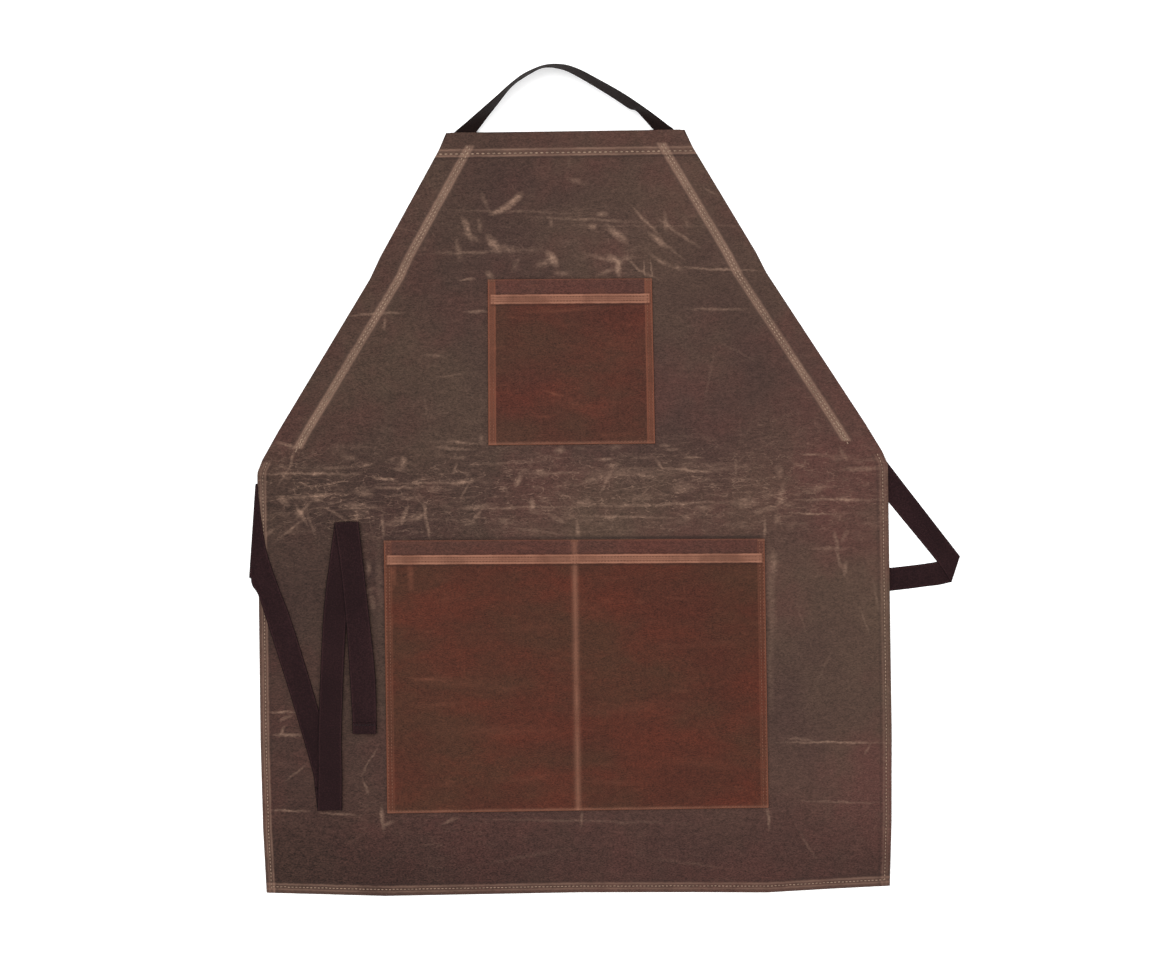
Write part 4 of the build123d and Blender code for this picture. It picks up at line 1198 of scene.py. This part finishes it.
straps = {}
for name, stations, nodes in (
    ("strapLeft", makeLeftStrap(), ("channel_strap_left", "tie_left_root")),
    ("strapRight", makeRightStrap(), ("channel_strap_right",)),
    ("leftTie", makeLooseTie(), ("tie_left", "tie_left_end_turn")),
    ("rightTie", makeRightTie(), ("tie_right",)),
    ("neckLoop", makeNeckLoop(), ("neck_loop",)),
):
    material = loopWebbing if name == "neckLoop" else webbing
    strap, length = makeStrap(name, stations, material)
    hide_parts(*nodes)
    straps[name] = strap
    print(name, round(length, 3), "m")
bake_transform(straps["strapLeft"])
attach(straps["strapRight"], "bib")
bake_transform(straps["leftTie"])
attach(straps["rightTie"], "right_tie")
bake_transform(straps["neckLoop"])

threadValues = {
    "tan": (0.262, 0.172, 0.122),
    "rust": (0.155, 0.062, 0.038),
    # The black thread is the tie end's own colour, kept darker than the tape so that its row also gives a
    # painted shadow line at the turned end.
    "black": (0.008, 0.005, 0.006),
}
threadSpecular = 0.15
stitchSizes = {               # length, width and height of one stitch
    "topHem": (3.4, 1.7, 1.0),
    "channel": (2.7, 1.5, 1.0),
    "sideHem": (2.4, 1.15, 0.85),
    "bottomHem": (2.7, 1.1, 0.85),
    "pocket": (2.4, 0.95, 0.7),
    "tack": (2.6, 0.9, 0.8),
    "tieEnd": (2.4, 1.1, 0.8),
}


def makeThread(name, colour):
    # Twisted and a little dirty.
    graph = Graph(name)
    place = graph.place()
    twist = graph.noise(place, 1500.0, 2.0, 0.6)
    dirt = graph.noise(place, 60.0, 3.0, 0.6)
    darker = [c * 0.45 for c in colour]
    paint = graph.mix(graph.ease(dirt, 0.35, 0.7) * 0.6 + twist * 0.3, plain(colour), plain(darker))
    return graph.finish(paint, 0.62 + (twist - 0.5) * 0.2, graph.bump(twist, 0.4, 0.0003), threadSpecular)


threads = {key: makeThread(key + "Thread", colour) for key, colour in threadValues.items()}


def stitchShape(length, wide, high):
    # One stitch as a low rounded ridge: half an ellipse across, rising and falling along it,
    # with both ends under the surface.
    along = np.linspace(-1.0, 1.0, 6)[:, None]
    around = np.linspace(0.0, math.tau, 6, endpoint=False)[None, :]
    fat = np.sqrt(np.maximum(1.0 - 0.86 * along ** 2, 0.0))
    x = along * length / 2 + 0.0 * around
    y = np.cos(around) * fat * wide / 2
    z = np.sin(around) * fat * high / 2 + high * 0.35 * (1.0 - along ** 2) - high * 0.25
    points = np.stack([x, y, z], -1).reshape(-1, 3)
    index = np.arange(36).reshape(6, 6)
    index = np.concatenate([index, index[:, :1]], 1)
    faces = quads(index)
    caps = np.array([[0, 1, 2, 3], [0, 3, 4, 5], [33, 32, 31, 30], [35, 34, 33, 30]])
    return points, np.concatenate([faces, caps])


def seamLine(points, pitch, surface, seed, wobble=0.25):
    # Centres, headings and heights of stitches spaced evenly along a line in plan.
    draw = np.random.default_rng(seed)
    points = np.asarray(points, float)
    steps = stepsAlong(points)
    count = max(1, int(round(steps[-1] / pitch)))
    place = (np.arange(count) + 0.5) * steps[-1] / count
    x, y = np.interp(place, steps, points[:, 0]), np.interp(place, steps, points[:, 1])
    ahead = place + 0.5
    dx = np.interp(ahead, steps, points[:, 0]) - np.interp(ahead - 1.0, steps, points[:, 0])
    dy = np.interp(ahead, steps, points[:, 1]) - np.interp(ahead - 1.0, steps, points[:, 1])
    heading = np.arctan2(dy, dx) + draw.normal(0.0, 0.06, count)
    x = x + draw.normal(0.0, wobble * 0.4, count)
    y = y + draw.normal(0.0, wobble * 0.4, count)
    return np.stack([x, y, surface(x, y), heading], -1)


def makeStitches(name, lines, size, material, body, nodes):
    # Every stitch is the same small shape, turned to its seam and set on the surface.
    spots = np.concatenate(lines)
    shape, faces = stitchShape(*size)
    cosine, sine = np.cos(spots[:, 3]), np.sin(spots[:, 3])
    x = spots[:, :1] + shape[None, :, 0] * cosine[:, None] - shape[None, :, 1] * sine[:, None]
    y = spots[:, 1:2] + shape[None, :, 0] * sine[:, None] + shape[None, :, 1] * cosine[:, None]
    z = spots[:, 2:3] + shape[None, :, 2]
    points = np.stack([x, y, z], -1).reshape(-1, 3)
    allFaces = (faces[None] + (np.arange(len(spots)) * len(shape))[:, None, None]).reshape(-1, 4)
    piece = meshPiece(name, points, allFaces, material)
    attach(piece, body)
    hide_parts(*nodes)


def onBody(x, y):
    # Just above the body cloth.
    proud = 0.12
    return frontHeight(x, y) + proud


def pocketSurface(values):
    # The height of that pocket's face, from a point in plan.
    def surface(x, y):
        tall = values["top"][0] - values["bottom"][0]
        width = values["right"][0] - values["left"][0]
        w = (y - values["bottom"][0]) / tall
        leftX = values["left"][1] + (values["left"][0] - values["left"][1]) * w
        fromLeft = x - leftX
        u = np.clip(fromLeft / width, 0.0, 1.0)
        highY = values["top"][0] + (values["top"][1] - values["top"][0]) * u
        fromSide = np.minimum(fromLeft, width - fromLeft)
        fromLow = y - values["bottom"][0]
        proud = 0.1
        return pocketTop(values, x, y, fromSide, fromLow, highY - y, awayFromDividers(values, x)) + proud
    return surface


def edgeLine(side, inset, fromY, toY, count=60):
    # A line in plan that keeps its distance from an edge.
    y = np.linspace(fromY, toY, count)
    return np.stack([edgePoint(side, inset, y), y], -1)


def makeBodyStitches():
    # One row along the top hem, two down each channel with a tack and loose ends at its
    # mouth, one down each side hem and one along the bottom.
    v = bodyValues
    hemRow = v["topY"] - v["topRow"]
    across = [(edgePoint(-1, 1.5, hemRow), hemRow), (edgePoint(1, 1.5, hemRow), hemRow)]
    makeStitches("topHemStitches", [seamLine(across, 5.8, onBody, 41)], stitchSizes["topHem"],
                 threads["tan"], "bib", ["top_hem_thread"])
    for side, word, seed in ((-1, "left", 43), (1, "right", 47)):
        seam, lowY = v["channelSeam"], 19.5
        pitch, apart = 4.6, 1.5
        inner = edgeLine(side, seam - apart, v["seamTopY"], lowY)
        outer = edgeLine(side, seam + apart, v["seamTopY"] - pitch / 2, lowY + pitch / 2)
        tack = [(edgePoint(side, seam + 1.2, 33.0), 33.0), (edgePoint(side, seam + 1.6, lowY), lowY)]
        loose = [(edgePoint(side, seam - 2.0, 42.0), 42.0), (edgePoint(side, seam + 0.6, 16.0), 16.0)]
        lines = [seamLine(inner, pitch, onBody, seed), seamLine(outer, pitch, onBody, seed + 3),
                 seamLine(tack, 3.8, onBody, seed + 1), seamLine(loose, 3.4, onBody, seed + 7, 1.6)]
        makeStitches("channelStitches" + word.title(), lines, stitchSizes["channel"], threads["tan"],
                     "bib", ["channel_thread_" + word])
        hem = [seamLine(edgeLine(side, v["sideRow"], v["sideHemTop"] - 2.0, -462.0), 3.9, onBody, seed + 2)]
        makeStitches("sideHemStitches" + word.title(), hem, stitchSizes["sideHem"], threads["tan"],
                     "skirt", ["side_hem_thread_" + word])
    x = np.linspace(-336.0, 336.0, 80)
    low = np.stack([x, bottomEdge(x) + v["bottomRow"]], -1)
    makeStitches("bottomHemStitches", [seamLine(low, 4.1, onBody, 53)], stitchSizes["bottomHem"],
                 threads["tan"], "skirt", ["bottom_hem_thread"])


def tackBar(x, topY, surface):
    # Close upright stitches side by side, just under the mouth.
    places = x + np.arange(-3.6, 3.61, 0.8)
    y = np.full(places.shape, topY - 1.9)
    heading = np.full(places.shape, math.pi / 2 + 0.12)
    return np.stack([places, y, surface(places, y), heading], -1)


def makePocketStitches(key, values):
    # Two rows down each side and along the mouth's hem, one along the bottom, two down each
    # divider, and a satin bar across the top of every seam.
    surface = pocketSurface(values)
    margin = (pocketValues["seam"] - pocketValues["rows"]) / 2
    left, right = values["left"], values["right"]
    low, high = values["bottom"], values["top"]
    pitch = 3.6
    seams, hems, split = [], [], []
    bars = [tackBar(left[0] + 4.0, high[0], surface), tackBar(right[0] - 4.0, high[1], surface)]
    for k, inset in enumerate((margin, margin + pocketValues["rows"])):
        for n, (line, sign) in enumerate(((left, 1), (right, -1))):
            points = [(line[1] + sign * inset, low[n] + 1.5), (line[0] + sign * inset, high[n] - 3.0)]
            seams.append(seamLine(points, pitch, surface, 60 + 2 * k + n))
    breaks = [left[0] + 8.6, *[d + s for d in values["dividers"] for s in (-3.6, 3.6)], right[0] - 8.6]
    for k in range(0, len(breaks), 2):
        u = [(breaks[n] - left[0]) / (right[0] - left[0]) for n in (k, k + 1)]
        for n, drop in enumerate((values["hemTop"] + 2.6, values["hemBottom"] - 2.8)):
            points = [(breaks[k + m], high[0] + (high[1] - high[0]) * u[m] - drop) for m in (0, 1)]
            hems.append(seamLine(points, 3.5, surface, 70 + 2 * k + n))
        points = [(breaks[k + m], low[0] + margin) for m in (0, 1)]
        seams.append(seamLine(points, pitch, surface, 80 + k))
    for n, place in enumerate(values["dividers"]):
        u = (place - left[0]) / (right[0] - left[0])
        top = high[0] + (high[1] - high[0]) * u
        for k, side in enumerate((-1, 1)):
            x = place + side * pocketValues["divider"]
            split.append(seamLine([(x, low[0] + 1.5), (x, top - 3.0)], pitch, surface, 90 + 2 * n + k))
        bars.append(tackBar(place, top, surface))
    for name, lines, size, node in (
        ("SeamStitches", seams, "pocket", "seam_thread"),
        ("HemStitches", hems, "pocket", "hem_thread"),
        ("Tacks", bars, "tack", "tacks"),
        ("DividerStitches", split, "pocket", "divider_thread"),
    ):
        if lines:
            makeStitches(key + "Pocket" + name, lines, stitchSizes[size], threads["rust"],
                         values["body"], [key + "_pocket_" + node])


def makeTieStitches():
    # One row of black thread across the tie's end, on top of the part that is turned over; the row's darkness
    # is partly painted shadow along the turned end.
    level = strapValues["thirdRun"] + 0.8 + strapValues["thick"] / 2 + 0.05
    points = [(-244.2, -283.0), (-220.2, -283.4)]
    lines = [seamLine(points, 2.9, lambda x, y: level + 0.0 * x, 101)]
    makeStitches("tieEndStitches", lines, stitchSizes["tieEnd"], threads["black"], "left_tie",
                 ["tie_left_end_thread"])


makeBodyStitches()
makePocketStitches("chest", pocketValues["chest"])
makePocketStitches("lower", pocketValues["lower"])
makeTieStitches()
print("stitches")
